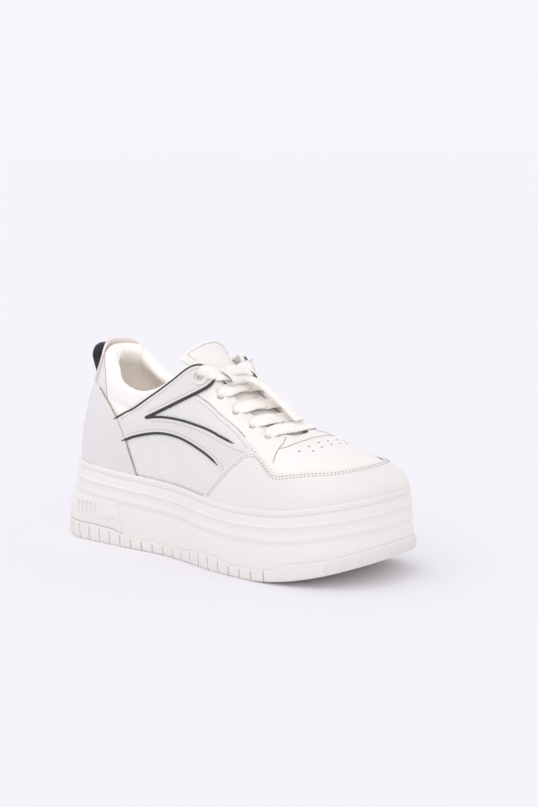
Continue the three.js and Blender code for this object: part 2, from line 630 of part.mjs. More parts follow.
// ---------------------------------------------------------------- laces
// A flat lace along a path: an oval section, broad across `face` and thin along it.
function ribbon(path, width, thick, steps) {
  const SECTION = [[-0.5, 0], [-0.36, 0.5], [0.36, 0.5], [0.5, 0], [0.36, -0.5], [-0.36, -0.5]];
  const curve = new THREE.CatmullRomCurve3(path.map((p) => p.at), false, 'centripetal');
  const faces = new THREE.CatmullRomCurve3(path.map((p) => p.face), false, 'centripetal');
  const rings = [];
  for (let k = 0; k <= steps; k += 1) {
    const t = k / steps;
    const i = t * (path.length - 1);
    const row = Math.min(Math.floor(i), path.length - 2);
    const broad = path[row].broad + (path[row + 1].broad - path[row].broad) * (i - row);
    const p = curve.getPoint(t);
    const forward = curve.getTangent(t);
    const across = forward.clone().cross(faces.getPoint(t)).normalize();
    const out = across.clone().cross(forward).normalize();
    rings.push(SECTION.map(([a, b]) => p.clone().addScaledVector(across, a * width * broad)
      .addScaledVector(out, b * thick)));
  }
  const n = SECTION.length;
  const triangles = [];
  for (let k = 0; k < steps; k += 1) triangles.push(...band(k * n, (k + 1) * n, n, true));
  for (let i = 1; i < n - 1; i += 1) {
    triangles.push([0, i + 1, i]);
    triangles.push([steps * n, steps * n + i, steps * n + i + 1]);
  }
  const g = geometry(rings.flat(), triangles);
  const solid = solidOf(g);
  return solid.volume() > 0 ? solid : solidOf(geometry(rings.flat(), triangles.map(([a, b, c]) => [c, b, a])));
}

const LACE_LIFT = 1.6;         // middle of the lace above the leather

const UPWARD = new THREE.Vector3(0.5, 0, 0.85);        // square to the throat's slope

// Place on the outer face, `back` below the throat's edge, with the lace's middle above it.
function onFacing(round, back, lift) {
  const up = upAt(round, back);
  return { at: shifted(round, up, lift), face: upperNormal(round, up) };
}

// One strand from the eyelet at `start` over the throat's middle, level with `level`, to the far
// facing's edge at `end`; it goes on to the far eyelet where it crosses as a bar.
function strand(start, level, end, hump, bar) {
  const middle = { at: tongueMiddle(level).addScaledVector(UPWARD, 1.5 + hump), face: UPWARD, broad: 1 };
  const between = (point, t) => ({
    at: point.at.clone().lerp(middle.at, t).addScaledVector(UPWARD, 0.5),
    face: point.face.clone().lerp(UPWARD, t).normalize(),
    broad: 1,
  });
  const lip = onFacing(start, 1.5, LACE_LIFT + 0.3);
  const farLip = onFacing(end, 1.5, LACE_LIFT + 0.3);
  const path = [{ ...onFacing(start, EYELET_SET_BACK, LACE_LIFT), broad: 0.6 }, { ...lip, broad: 0.9 },
    between(lip, 0.5), middle, between(farLip, 0.6)];
  if (bar) path.push({ ...farLip, broad: 0.9 }, { ...onFacing(end, EYELET_SET_BACK, LACE_LIFT), broad: 0.6 });
  return path;
}

const STRAND_STEPS = 8;
const ADVANCE = 0.005;         // how much higher up the throat a crossing strand arrives
const KNOT_LEVEL = 0.277;      // the knot's height on the throat
const lace = (path, steps) => ribbon(path, LACE_WIDTH, LACE_THICK, steps);

function laceBar(row) {
  const round = EYELETS[row];
  return geometryOf(lace(strand(round, round, 1 - round, 0.2, true), STRAND_STEPS));
}

function laceCross(row) {
  const round = EYELETS[row];
  const level = round + 0.001;
  const over = strand(round, level, 1 - round + ADVANCE, 1.9, false);
  const under = strand(1 - round, level, round - ADVANCE, 0.6, false);
  return geometryOf(lace(over, STRAND_STEPS).add(lace(under, STRAND_STEPS)));
}

// The two top strands run from their eyelets to the knot, where they join.
function laceTop() {
  const round = EYELETS[0];
  const half = (start, side) => {
    const from = onFacing(start, EYELET_SET_BACK, LACE_LIFT);
    const lip = onFacing(side > 0 ? 1 - KNOT_LEVEL + 0.008 : KNOT_LEVEL - 0.008, 2, LACE_LIFT + 0.6);
    const middle = tongueMiddle(KNOT_LEVEL).addScaledVector(UPWARD, 2.2).add(new THREE.Vector3(0, side * -3, 0));
    return lace([{ ...from, broad: 0.6 }, { ...lip, broad: 0.9 }, { at: middle, face: UPWARD, broad: 1 }], 6);
  };
  return geometryOf(half(round, -1).add(half(1 - round, 1)));
}

// The knot: a soft bead of lace pulled flat over the join.
const KNOT = { long: 12, wide: 14, tall: 5.5 };

function knotCentre() {
  return tongueMiddle(KNOT_LEVEL).addScaledVector(UPWARD, 4.6 + KNOT.tall / 2);
}

function laceKnot() {
  const bead = new THREE.SphereGeometry(0.5, 12, 8);
  const tilt = new THREE.Quaternion().setFromUnitVectors(new THREE.Vector3(0, 0, 1), UPWARD.clone().normalize());
  const place = new THREE.Matrix4().compose(knotCentre(), tilt, new THREE.Vector3(KNOT.long, KNOT.wide, KNOT.tall));
  return geometryOf(primitive(bead, place));
}

// The free end: down the inner half of the throat, over the crossings, tucked in at its tip.
const TAIL = [
  { ahead: 7.2, across: 3.5, above: 4.6 },
  { ahead: 13, across: 5.5, above: 6.2 },
  { ahead: 21, across: 7.5, above: 6.6 },
  { ahead: 30, across: 9, above: 6.2 },
  { ahead: 39, across: 9.5, above: 6.0 },
  { ahead: 48, across: 9.5, above: 6.0 },
  { ahead: 56, across: 9, above: 5.8 },
];

function laceTail() {
  const from = tongueMiddle(KNOT_LEVEL);
  const to = tongueMiddle(0.345);
  const downhill = to.clone().sub(from).normalize();
  const path = TAIL.map((row) => ({
    at: from.clone().addScaledVector(downhill, row.ahead).add(new THREE.Vector3(0, row.across, 0))
      .addScaledVector(UPWARD, row.above),
    face: UPWARD,
    broad: 1,
  }));
  return geometryOf(lace(path, 12));
}

// ---------------------------------------------------------------- assembly
const LEATHER = { color: 0xf3efe9, roughness: 0.5, metalness: 0 };
const FINISH = {
  outsole: { color: 0xece8e8, roughness: 0.6, metalness: 0 },
  midsole: { color: 0xeeeae9, roughness: 0.55, metalness: 0 },
  insole: { color: 0xcdbeaf, roughness: 0.9, metalness: 0 },
  overlay: { color: 0xf6f3ef, roughness: 0.45, metalness: 0 },
  tab: { color: 0xe9dfd9, roughness: 0.6, metalness: 0 },
  webbing: { color: 0x232629, roughness: 0.85, metalness: 0 },
  lace: { color: 0xf5eddf, roughness: 0.9, metalness: 0 },
};

const shoe = new THREE.Group();
function add(name, shape, finish) {
  const mesh = new THREE.Mesh(shape, new THREE.MeshStandardMaterial(finish));
  mesh.name = name;
  shoe.add(mesh);
}

add('outsole', outsole(), FINISH.outsole);
add('midsole', midsole(), FINISH.midsole);
add('insole', insole(), FINISH.insole);
add('upper', upper(), LEATHER);
add('toe_cap', overlay(TOE_CAP, 30, 6), FINISH.overlay);
add('heel_counter', overlay(HEEL_COUNTER, 28, 7), FINISH.overlay);
add('heel_tab', heelTab(), FINISH.tab);
add('pull_loop', pullLoop(), FINISH.webbing);
add('tongue', tongue(), LEATHER);
add('lace_bar_1', laceBar(4), FINISH.lace);
for (const row of [3, 2, 1]) add(`lace_cross_${5 - row}`, laceCross(row), FINISH.lace);
add('lace_top', laceTop(), FINISH.lace);
add('lace_knot', laceKnot(), FINISH.lace);
add('lace_tail', laceTail(), FINISH.lace);

shoe.position.set(-LENGTH / 2, -CENTRE_Y, 0);
export default shoe;
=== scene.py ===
# Platform sneaker, right shoe: white leather on a thick foam sole, laced up and standing empty.
# Shapes are worked out in millimetres, x from the back of the heel and y from the heel's middle,
# and are put into the shared frame, in metres, as each piece is made.
import math
import bpy
import numpy as np
from mathutils import Matrix, Vector


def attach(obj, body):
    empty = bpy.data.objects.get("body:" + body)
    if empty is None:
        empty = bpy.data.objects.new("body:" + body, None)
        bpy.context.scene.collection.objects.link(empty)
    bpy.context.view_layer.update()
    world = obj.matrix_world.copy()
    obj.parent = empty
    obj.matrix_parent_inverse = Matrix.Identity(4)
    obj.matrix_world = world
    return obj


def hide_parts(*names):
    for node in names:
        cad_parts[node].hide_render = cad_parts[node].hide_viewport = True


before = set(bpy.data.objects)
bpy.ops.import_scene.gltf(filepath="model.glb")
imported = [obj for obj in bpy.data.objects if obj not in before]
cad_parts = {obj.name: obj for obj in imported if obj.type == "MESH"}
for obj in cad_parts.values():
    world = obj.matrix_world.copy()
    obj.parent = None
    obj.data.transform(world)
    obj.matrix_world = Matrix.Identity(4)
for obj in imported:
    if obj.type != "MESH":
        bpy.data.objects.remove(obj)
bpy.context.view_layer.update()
bpy.ops.object.select_all(action="DESELECT")

# ------------------------------------------------------------------ camera, floor and light
# A long lens at knee height, on the outer side and ahead of the shoe; a plain pale floor; two large
# soft lights, a small one over the collar, one inside the shoe, and a bright, even surrounding.
bpy.ops.object.camera_add(location=(0.6909, -0.7880, 0.2736),
                          rotation=[math.radians(a) for a in (80.686, 0.585, 39.629)])
camera = bpy.context.object
camera.name = "camera"
camera.data.lens = 69.95
bpy.context.scene.camera = camera


def colour(code):
    """Linear colour of a six-digit code."""
    parts = [int(code[i:i + 2], 16) / 255 for i in (0, 2, 4)]
    return [p / 12.92 if p <= 0.04045 else ((p + 0.055) / 1.055) ** 2.4 for p in parts] + [1.0]


def finish(name, code, roughness, **sockets):
    """A material with its own shader; further sockets are given by name, with _ for a space."""
    material = bpy.data.materials.new(name)
    material.use_nodes = True
    shader = material.node_tree.nodes["Principled BSDF"]
    shader.inputs["Base Color"].default_value = colour(code)
    shader.inputs["Roughness"].default_value = roughness
    for socket, value in sockets.items():
        shader.inputs[socket.replace("_", " ")].default_value = value
    return material


def node(material, kind, links=(), **settings):
    """Adds a node; `links` are (input, source node, source output), settings are sockets or properties."""
    made = material.node_tree.nodes.new(kind)
    for key, value in settings.items():
        if hasattr(made, key):
            setattr(made, key, value)
        else:
            made.inputs[key.replace("_", " ")].default_value = value
    for entry, source, output in links:
        material.node_tree.links.new(source.outputs[output], made.inputs[entry])
    return made


def pattern(material, kind, space="Object", **settings):
    """A texture on the material's own coordinates, whose node is made once."""
    where = next((n for n in material.node_tree.nodes if n.type == "TEX_COORD"), None)
    where = where or node(material, "ShaderNodeTexCoord")
    return node(material, "ShaderNodeTex" + kind, [("Vector", where, space)], **settings)


def raise_bump(material, heights, distance, strength=1.0):
    """Adds up (node, output) heights as bumps of `distance` metres each, and links them to the shader."""
    shader = material.node_tree.nodes["Principled BSDF"]
    below = None
    for (source, output), depth in zip(heights, distance):
        links = [("Height", source, output)] + ([("Normal", below, "Normal")] if below else [])
        below = node(material, "ShaderNodeBump", links, Strength=strength, Distance=depth)
    material.node_tree.links.new(below.outputs["Normal"], shader.inputs["Normal"])


def tint(material, source, output, low, high, codes):
    """Colour that goes from one code to the other as the source goes from `low` to `high`."""
    shader = material.node_tree.nodes["Principled BSDF"]
    ramp = node(material, "ShaderNodeValToRGB", [(0, source, output)])
    ramp.color_ramp.elements[0].position, ramp.color_ramp.elements[1].position = low, high
    ramp.color_ramp.elements[0].color, ramp.color_ramp.elements[1].color = colour(codes[0]), colour(codes[1])
    material.node_tree.links.new(ramp.outputs["Color"], shader.inputs["Base Color"])


bpy.ops.mesh.primitive_plane_add(size=120)
floor = bpy.context.object
floor.name = "floor"
floor.data.materials.append(finish("floor_paper", "EDECEE", 0.9))

bpy.context.scene.view_settings.view_transform = "Standard"
SUN_SPREAD = math.radians(60)
for light, turn, power in (("key_light", (26, 0, -16), 0.42), ("side_light", (60, 0, 42), 0.26)):
    bpy.ops.object.light_add(type="SUN", location=(0, 0, 1.5), rotation=[math.radians(a) for a in turn])
    lamp = bpy.context.object
    lamp.name = light
    lamp.data.angle, lamp.data.energy = SUN_SPREAD, power
bpy.ops.object.light_add(type="AREA", location=(-0.03, -0.06, 0.42),
                         rotation=[math.radians(a) for a in (9, 7, 0)])
collar_light = bpy.context.object
collar_light.name = "collar_light"
collar_light.data.size, collar_light.data.energy, collar_light.data.spread = 0.05, 0.003, math.radians(22)
bpy.ops.object.light_add(type="AREA", location=(-0.048, -0.006, 0.122))
inside_light = bpy.context.object
inside_light.name = "inside_light"
inside_light.rotation_euler = Vector((-0.030, 0.034, -0.030)).to_track_quat("-Z", "Y").to_euler()
inside_light.data.size, inside_light.data.energy = 0.03, 0.0075
inside_light.visible_camera = False
surrounding = bpy.data.worlds.new("surrounding")
surrounding.use_nodes = True
surrounding.node_tree.nodes["Background"].inputs["Color"].default_value = colour("F6F5FB")
surrounding.node_tree.nodes["Background"].inputs["Strength"].default_value = 1.0
bpy.context.scene.world = surrounding

# ------------------------------------------------------------------ outsole
# A rubber tread moulded to the full outline of the shoe, with notches all round its wall, a raised
# bumper at the toe and cross grooves underneath. It is glued to the midsole along its top edge.
LENGTH = 275.0          # back of the heel to the tip
CENTRE_Y = 0.9          # middle of the shoe's width, from the heel's centre line
TOE_SWING, SWING_START = 8.5, 150.0
TOE_SPRING, SPRING_START = 17.0, 193.0
HEEL_ROUNDNESS, TOE_ROUNDNESS = 2.2, 2.48
SOLE_WIDTHS = {
    "x":     (38.0, 75.0, 115.0, 160.0, 200.0),
    "outer": (39.7, 39.3, 38.7, 47.8, 52.5),
    "inner": (39.7, 37.7, 35.0, 45.5, 51.0),
}
SOLE_HEIGHTS = {
    "x":     (0, 62, 78, 128, 150, 172, 182, 214, 226, 250, 275),
    "rim":   (57.5, 52.6, 51.8, 49.0, 47.5, 46.4, 46.2, 47.4, 48.8, 52.8, 57.9),
    "tread": (12.5, 11.5, 8.0, 7.0, 10.2, 9.4, 7.2, 9.2, 14.2, 18.6, 26.5),
}


def through(table, key, name, at):
    """Smooth curve through a table's columns `key` and `name`, read at `at`."""
    xs, ys = np.asarray(table[key], float), np.asarray(table[name], float)
    at = np.asarray(at, float)
    i = np.clip(np.searchsorted(xs, at, side="left") - 1, 0, len(xs) - 2)
    before, after = np.maximum(np.arange(len(xs)) - 1, 0), np.minimum(np.arange(len(xs)) + 1, len(xs) - 1)
    slope = (ys[after] - ys[before]) / (xs[after] - xs[before])
    span = xs[i + 1] - xs[i]
    t = np.clip((at - xs[i]) / span, 0, 1)
    return ((2 * t**3 - 3 * t**2 + 1) * ys[i] + (t**3 - 2 * t**2 + t) * span * slope[i]
            + (3 * t**2 - 2 * t**3) * ys[i + 1] + (t**3 - t**2) * span * slope[i + 1])


def step(low, high, at):
    t = np.clip((np.asarray(at, float) - low) / (high - low), 0, 1)
    return t * t * (3 - 2 * t)


def stacked(x, y, z):
    return np.stack(np.broadcast_arrays(x, y, z), axis=-1).astype(float)


def unit(vectors):
    return vectors / np.maximum(np.linalg.norm(vectors, axis=-1, keepdims=True), 1e-9)


def rounded(share, roundness):
    """Share of the full width that is left, `share` of the way into a rounded end."""
    return np.maximum(1 - np.clip(share, 0, 1) ** roundness, 0) ** (1 / roundness)


def edge(lap):
    """Tread's edge in plan. `lap` is 0 at the heel, 0.5 at the toe, 1 at the heel, outer side first."""
    r = np.mod(lap, 1.0)
    u = np.where(r <= 0.5, r * 2, 2 - r * 2)
    x = LENGTH * (1 - np.cos(np.pi * u)) / 2
    first, last = SOLE_WIDTHS["x"][0], SOLE_WIDTHS["x"][-1]
    half = 0
    for side, here in (("outer", r <= 0.5), ("inner", r > 0.5)):
        heel = SOLE_WIDTHS[side][0] * rounded((first - x) / first, HEEL_ROUNDNESS)
        toe = SOLE_WIDTHS[side][-1] * rounded((x - last) / (LENGTH - last), TOE_ROUNDNESS)
        width = np.where(x < first, heel, np.where(x > last, toe, through(SOLE_WIDTHS, "x", side, x)))
        half = half + np.where(here, -width if side == "outer" else width, 0)
    turn = np.clip((x - SWING_START) / (LENGTH - SWING_START), 0, None)
    return np.stack([x, half + TOE_SWING * turn * turn], axis=-1)


def outline(lap, inset):
    """The edge moved inwards by `inset`, square to itself."""
    r = np.mod(lap, 1.0)
    forward = unit(edge(r + 0.002) - edge(r - 0.002))
    return edge(r) + np.stack([-forward[..., 1], forward[..., 0]], axis=-1) * np.asarray(inset)[..., None]


def rim_height(x):
    return through(SOLE_HEIGHTS, "x", "rim", x)


def tread_height(x):
    return through(SOLE_HEIGHTS, "x", "tread", x)


def bottom_height(x):
    share = (np.asarray(x, float) - SPRING_START) / (LENGTH - SPRING_START)
    return TOE_SPRING * np.clip(share, 0, None) ** 1.8


def placed(points):
    """Millimetres from the heel, to metres in the shared frame."""
    return (np.asarray(points, float) - (LENGTH / 2, CENTRE_Y, 0)) / 1000


def formed(name, rows):
    """A grid primitive with its rows of corners put where `rows` says; edges that meet are welded."""
    rows = np.asarray(rows, float)
    bpy.ops.mesh.primitive_grid_add(x_subdivisions=rows.shape[1] - 1,
                                    y_subdivisions=rows.shape[0] - 1, size=1)
    piece = bpy.context.object
    piece.name = piece.data.name = name
    piece.data.vertices.foreach_set("co", placed(rows).ravel())
    bpy.ops.object.mode_set(mode="EDIT")
    bpy.ops.mesh.select_all(action="SELECT")
    bpy.ops.mesh.remove_doubles(threshold=2e-6)
    bpy.ops.object.mode_set(mode="OBJECT")
    bpy.ops.object.shade_smooth_by_angle(angle=math.radians(35))
    return piece


def worked(piece, kind, **settings):
    """Adds a modifier to the piece and applies it."""
    modifier = piece.modifiers.new(kind.lower(), kind)
    for key, value in settings.items():
        setattr(modifier, key, value)
    bpy.ops.object.select_all(action="DESELECT")
    piece.select_set(True)
    bpy.context.view_layer.objects.active = piece
    bpy.ops.object.modifier_apply(modifier=modifier.name)
    return piece


def bevelled(piece, width, segments=2):
    """Rounds the piece's sharp edges."""
    return worked(piece, "BEVEL", width=width, segments=segments, limit_method="ANGLE",
                  angle_limit=math.radians(50))


def set_square(piece, point, face):
    """Moves a piece made at the origin to `point`, its axis along `face`."""
    turn = Vector(face).to_track_quat("Z", "Y").to_matrix().to_4x4()
    piece.data.transform(Matrix.Translation(placed(point)) @ turn)


def done(piece, material, slot, *nodes):
    """Gives the piece its material, its place on the shoe's one body, and the nodes it stands for."""
    for one in (material if isinstance(material, tuple) else (material,)):
        piece.data.materials.append(one)
    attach(piece, "root")
    if nodes:
        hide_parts(*nodes)
    bpy.ops.object.select_all(action="DESELECT")
    return piece


def joined(name, pieces):
    bpy.ops.object.select_all(action="DESELECT")
    for piece in pieces:
        piece.select_set(True)
    bpy.context.view_layer.objects.active = pieces[0]
    bpy.ops.object.join()
    pieces[0].name = pieces[0].data.name = name
    return pieces[0]


def even_rounds(count, inset=0.0):
    """Places round the shoe at even steps along the outline, first and last the same point."""
    fine = np.linspace(0, 1, 4001)
    run = np.concatenate([[0], np.cumsum(np.linalg.norm(np.diff(outline(fine, inset), axis=0), axis=1))])
    return np.interp(np.linspace(0, run[-1], count + 1), run, fine)


def spine(lap):
    """Middle line that the flat faces of the sole's pieces close on."""
    x = np.clip(edge(lap)[..., 0], 36, 236)
    turn = np.clip((x - SWING_START) / (LENGTH - SWING_START), 0, None)
    return np.stack([x, TOE_SWING * turn * turn], axis=-1)


def level_ring(rounds, inset, height, towards_middle=0.0):
    """A ring at `inset` from the edge, its height a function of x, drawn in towards the middle line."""
    x = edge(rounds)[..., 0]
    plan = outline(rounds, inset) * (1 - towards_middle) + spine(rounds) * towards_middle
    return stacked(plan[..., 0], plan[..., 1], height(x if towards_middle == 0 else plan[..., 0]))


NOTCHES, NOTCH_DEEP = 66, 1.5     # all round the wall, left out at the toe
even = even_rounds(NOTCHES * 10)
phases = np.array((0, 0.2, 0.38, 0.44, 0.465, 0.535, 0.56, 0.62, 0.8))
places = np.concatenate([(np.arange(NOTCHES)[:, None] + phases).ravel(), [NOTCHES]])
rounds = np.interp(places, np.arange(len(even)) / 10, even)
notch = (np.abs(places % 1 - 0.5) < 0.04) * (edge(rounds)[..., 0] < 214)
TREAD_WALL = {                   # share of the wall's height, inset of the wall, share of the notch cut there
    "up":    (0.00, 0.05, 0.16, 0.34, 0.52, 0.60, 0.68, 0.84, 0.93, 1.00),
    "inset": (1.50, 0.80, 0.40, 0.20, 0.05, 0.02, 0.00, 0.00, 0.05, 0.25),
    "cut":   (1.00, 1.00, 1.00, 1.00, 1.00, 1.00, 0.95, 0.60, 0.00, 0.00),
}
wall_rows = []
for up in np.linspace(0, 1, 19):
    inset = np.interp(up, TREAD_WALL["up"], TREAD_WALL["inset"])
    cut = np.interp(up, TREAD_WALL["up"], TREAD_WALL["cut"]) * NOTCH_DEEP
    wall_rows.append(level_ring(rounds, inset + cut * notch,
                                lambda x, k=up: bottom_height(x) * (1 - k) + tread_height(x) * k))
under = [level_ring(rounds, 3.4, bottom_height, share) for share in (1.0, 0.75, 0.5, 0.25, 0.08, 0.0)]
over = [level_ring(rounds, 3.0, tread_height, share) for share in (0.0, 0.5, 1.0)]
tread = formed("tread", under + wall_rows + over)
bars = []
for x in list(range(14, 84, 8)) + list(range(140, 222, 8)):
    half = np.interp(x, SOLE_WIDTHS["x"], SOLE_WIDTHS["inner"]) * (0.62 if x < 20 else 0.78)
    bpy.ops.mesh.primitive_cube_add(size=1)
    bar = bpy.context.object
    turn = max(x - SWING_START, 0) / (LENGTH - SWING_START)
    middle = placed((x, TOE_SWING * turn * turn, bottom_height(x) + 0.2))
    bar.data.transform(Matrix.Translation(middle) @ Matrix.Diagonal((0.0026, half * 2 / 1000, 0.0036, 1)))
    bars.append(bar)
bpy.ops.mesh.primitive_cube_add(size=1)
bars.append(bpy.context.object)
bars[-1].data.transform(Matrix.Translation(placed((112, -0.5, 0)))
                        @ Matrix.Diagonal((0.044, 0.05, 0.005, 1)))
bars = joined("grooves", bars)
worked(tread, "BOOLEAN", object=bars, operation="DIFFERENCE", solver="EXACT")
bpy.data.objects.remove(bars)

rubber = finish("tread_rubber", "E6E0E2", 0.62)
speck = pattern(rubber, "Noise", Scale=900, Detail=3)
tint(rubber, speck, "Fac", 0.3, 0.72, ("E9E4DF", "EDE8E4"))
raise_bump(rubber, [(speck, "Fac")], [0.00003])
done(tread, rubber, "outsole", "outsole")

# ------------------------------------------------------------------ midsole
# A thick moulded foam wall with a rounded rim round the upper, a groove under the rim, a sharp ridge
# and a soft wave below it. The upper is sunk into the cup on its top.
RIM_SIDE, RIM_WALL, CUP_DEPTH, GAP = 3.4, 2.0, 8.0, 0.3
WALL = {                         # depth below the rim, distance out from it, share of the heel's lean
    "depth": (0.0, 0.35, 1.0, 2.0, 3.4, 3.9, 4.6, 5.3, 5.8, 7.5, 9.6, 10.5, 11.0, 11.6, 12.6, 14.5,
              16.5, 18.4, 19.5, 21.0, 22.5, 24.5, 28, 32, 35.2, 36),
    "out":   (-0.9, -0.1, 0.25, 0.3, 0.2, -0.25, -0.65, -0.25, 0.15, 0.4, 0.65, 0.95, 1.35, 0.95, 0.75, 0.7,
              0.95, 1.5, 1.65, 1.2, 0.9, 1.3, 1.9, 2.1, 2.1, 1.8),
    "lean":  (0, 0, 0, 0, 0, 0, 0, 0, 0.01, 0.02, 0.03, 0.035, 0.04, 0.045, 0.05, 0.07,
              0.1, 0.17, 0.22, 0.3, 0.4, 0.55, 0.78, 0.93, 1, 1),
}
FULL_DEPTH = 36.0


def rim_inset(x):
    return RIM_SIDE + 6.6 * np.exp(-((x / 24) ** 2))


def cup_inset(x):
    return rim_inset(x) + RIM_WALL + 1.8 * np.exp(-((x / 30) ** 2))


rounds = even_rounds(300)
heel_to_toe = edge(rounds)[..., 0]
rim, sole_top = rim_height(heel_to_toe), tread_height(heel_to_toe) - 0.35
wall_rows = []
halved = [np.linspace(a, b, 3)[:-1] for a, b in zip(WALL["depth"], WALL["depth"][1:])]
depths = np.concatenate(halved + [[FULL_DEPTH]])
for depth in depths[::-1]:
    out, lean = np.interp(depth, WALL["depth"], WALL["out"]), np.interp(depth, WALL["depth"], WALL["lean"])
    plan = outline(rounds, rim_inset(heel_to_toe) - out - lean * (rim_inset(heel_to_toe) - RIM_SIDE))
    below = np.where(depth < 25, depth, 25 + (depth - 25) * (rim - sole_top - 25) / (FULL_DEPTH - 25))
    wall_rows.append(stacked(plan[..., 0], plan[..., 1], rim - below))
cup_rows = []
for extra, drop in ((-1.15, -0.02), (-0.4, 0.05), (0.2, 0.4), (0.42, 1.2), (0.42, CUP_DEPTH)):
    plan = outline(rounds, cup_inset(heel_to_toe) + extra)
    cup_rows.append(stacked(plan[..., 0], plan[..., 1], rim - drop))
floor_rows = [level_ring(rounds, 12, lambda x: rim_height(x) - CUP_DEPTH, share) for share in (0.0, 1.0)]
base_rows = [level_ring(rounds, 4, lambda x: tread_height(x) + GAP, share) for share in (1.0, 0.0)]
base_rows.append(level_ring(rounds, 1.6, lambda x: tread_height(x) + 0.1))
platform = formed("platform", base_rows + wall_rows + cup_rows + floor_rows)

foam = finish("midsole_foam", "EAE5E7", 0.5)
skin = pattern(foam, "Noise", Scale=1400, Detail=2)
cloud = pattern(foam, "Noise", Scale=16, Detail=2)
tint(foam, cloud, "Fac", 0.3, 0.75, ("EAE5E1", "EEE9E6"))
raise_bump(foam, [(skin, "Fac")], [0.00006])
done(platform, foam, "midsole", "midsole")


def foam_face(lap, height, lift):
    """Points on the foam wall at a height, `lift` millimetres off it, and the way it faces."""
    x = edge(lap)[..., 0]
    rim, low = rim_height(x), tread_height(x) - 0.35
    below = rim - height
    depth = np.where(below < 25, below, 25 + (below - 25) * (FULL_DEPTH - 25) / (rim - low - 25))
    out, lean = np.interp(depth, WALL["depth"], WALL["out"]), np.interp(depth, WALL["depth"], WALL["lean"])
    plan = outline(lap, rim_inset(x) - out - lean * (rim_inset(x) - RIM_SIDE) - lift)
    away = unit(outline(lap, 0.0) - outline(lap, 1.0))
    return stacked(plan[..., 0], plan[..., 1], height), stacked(away[..., 0], away[..., 1], 0 * height)


# A low plain block stands on the wall each side of the heel, with five short ribs and a bar on it.
blocks = []
for sign in (1, -1):
    far = np.linspace(0.035, 0.165, 60)
    rows = []
    for share in np.linspace(0, 1, 12):
        lean = 0.006 * (1 - share) * (far - far[0]) / (far[-1] - far[0])
        x = edge(sign * (far + lean))[..., 0]
        foot, head = tread_height(x) + 0.2, 33.5 - 2.2 * (far - far[0]) / (far[-1] - far[0])
        rows.append(foam_face(sign * (far + lean), foot * (1 - share) + head * share, 0.75)[0])
    block = formed("block", rows if sign > 0 else rows[::-1])
    worked(block, "SOLIDIFY", thickness=0.0012, offset=-1)
    bevelled(block, 0.0005)
    blocks.append(block)
    ribs = [(0.106 + 0.0072 * n, 1.6, 20.5, 28.5) for n in range(5)]
    for place, width, low, high in ribs + [(0.152, 12.0, 19.4, 22.0)]:
        bpy.ops.mesh.primitive_cube_add(size=1)
        rib = bpy.context.object
        at, away = foam_face(np.array(sign * place), np.array((low + high) / 2), 0.9)
        facing = Vector(away).to_track_quat("X", "Z").to_matrix().to_4x4()
        rib.data.transform(Matrix.Translation(placed(at)) @ facing
                           @ Matrix.Diagonal((0.0014, width / 1000, (high - low) / 1000, 1)))
        worked(rib, "BEVEL", width=0.0004, segments=2)
        blocks.append(rib)
done(joined("heel_blocks", blocks), foam, "midsole")

# ------------------------------------------------------------------ insole
# A foam footbed covered in fabric, laid in the bottom of the upper.
SHELL, INSOLE = 2.4, 4.5
rounds = even_rounds(160)
heel_to_toe = edge(rounds)[..., 0]
bed_floor = rim_height(heel_to_toe) - CUP_DEPTH + GAP
bed_rows = []
for inset, height in ((0.4, 0), (0.2, 1.5), (0.2, INSOLE - 1.4), (0.5, INSOLE - 0.5), (1.4, INSOLE)):
    plan = outline(rounds, cup_inset(heel_to_toe) + 0.2 + GAP * 2 + SHELL + inset)
    bed_rows.append(stacked(plan[..., 0], plan[..., 1], bed_floor + height))
flat = [level_ring(rounds, 16, lambda x: rim_height(x) - CUP_DEPTH + GAP, share)
        for share in (1.0, 0.0)]
top = [level_ring(rounds, 16, lambda x: rim_height(x) - CUP_DEPTH + GAP + INSOLE, share)
       for share in (0.0, 1.0)]
footbed = formed("footbed", flat + bed_rows + top)
fabric = finish("insole_fabric", "CFC2B4", 0.92, Sheen_Weight=0.3)
weave = pattern(fabric, "Wave", Scale=420, Distortion=0.4)
mottle = pattern(fabric, "Noise", Scale=60)
tint(fabric, mottle, "Fac", 0.3, 0.7, ("C6B8A9", "D6CABD"))
raise_bump(fabric, [(weave, "Fac")], [0.0001])
done(footbed, fabric, "insole", "insole")

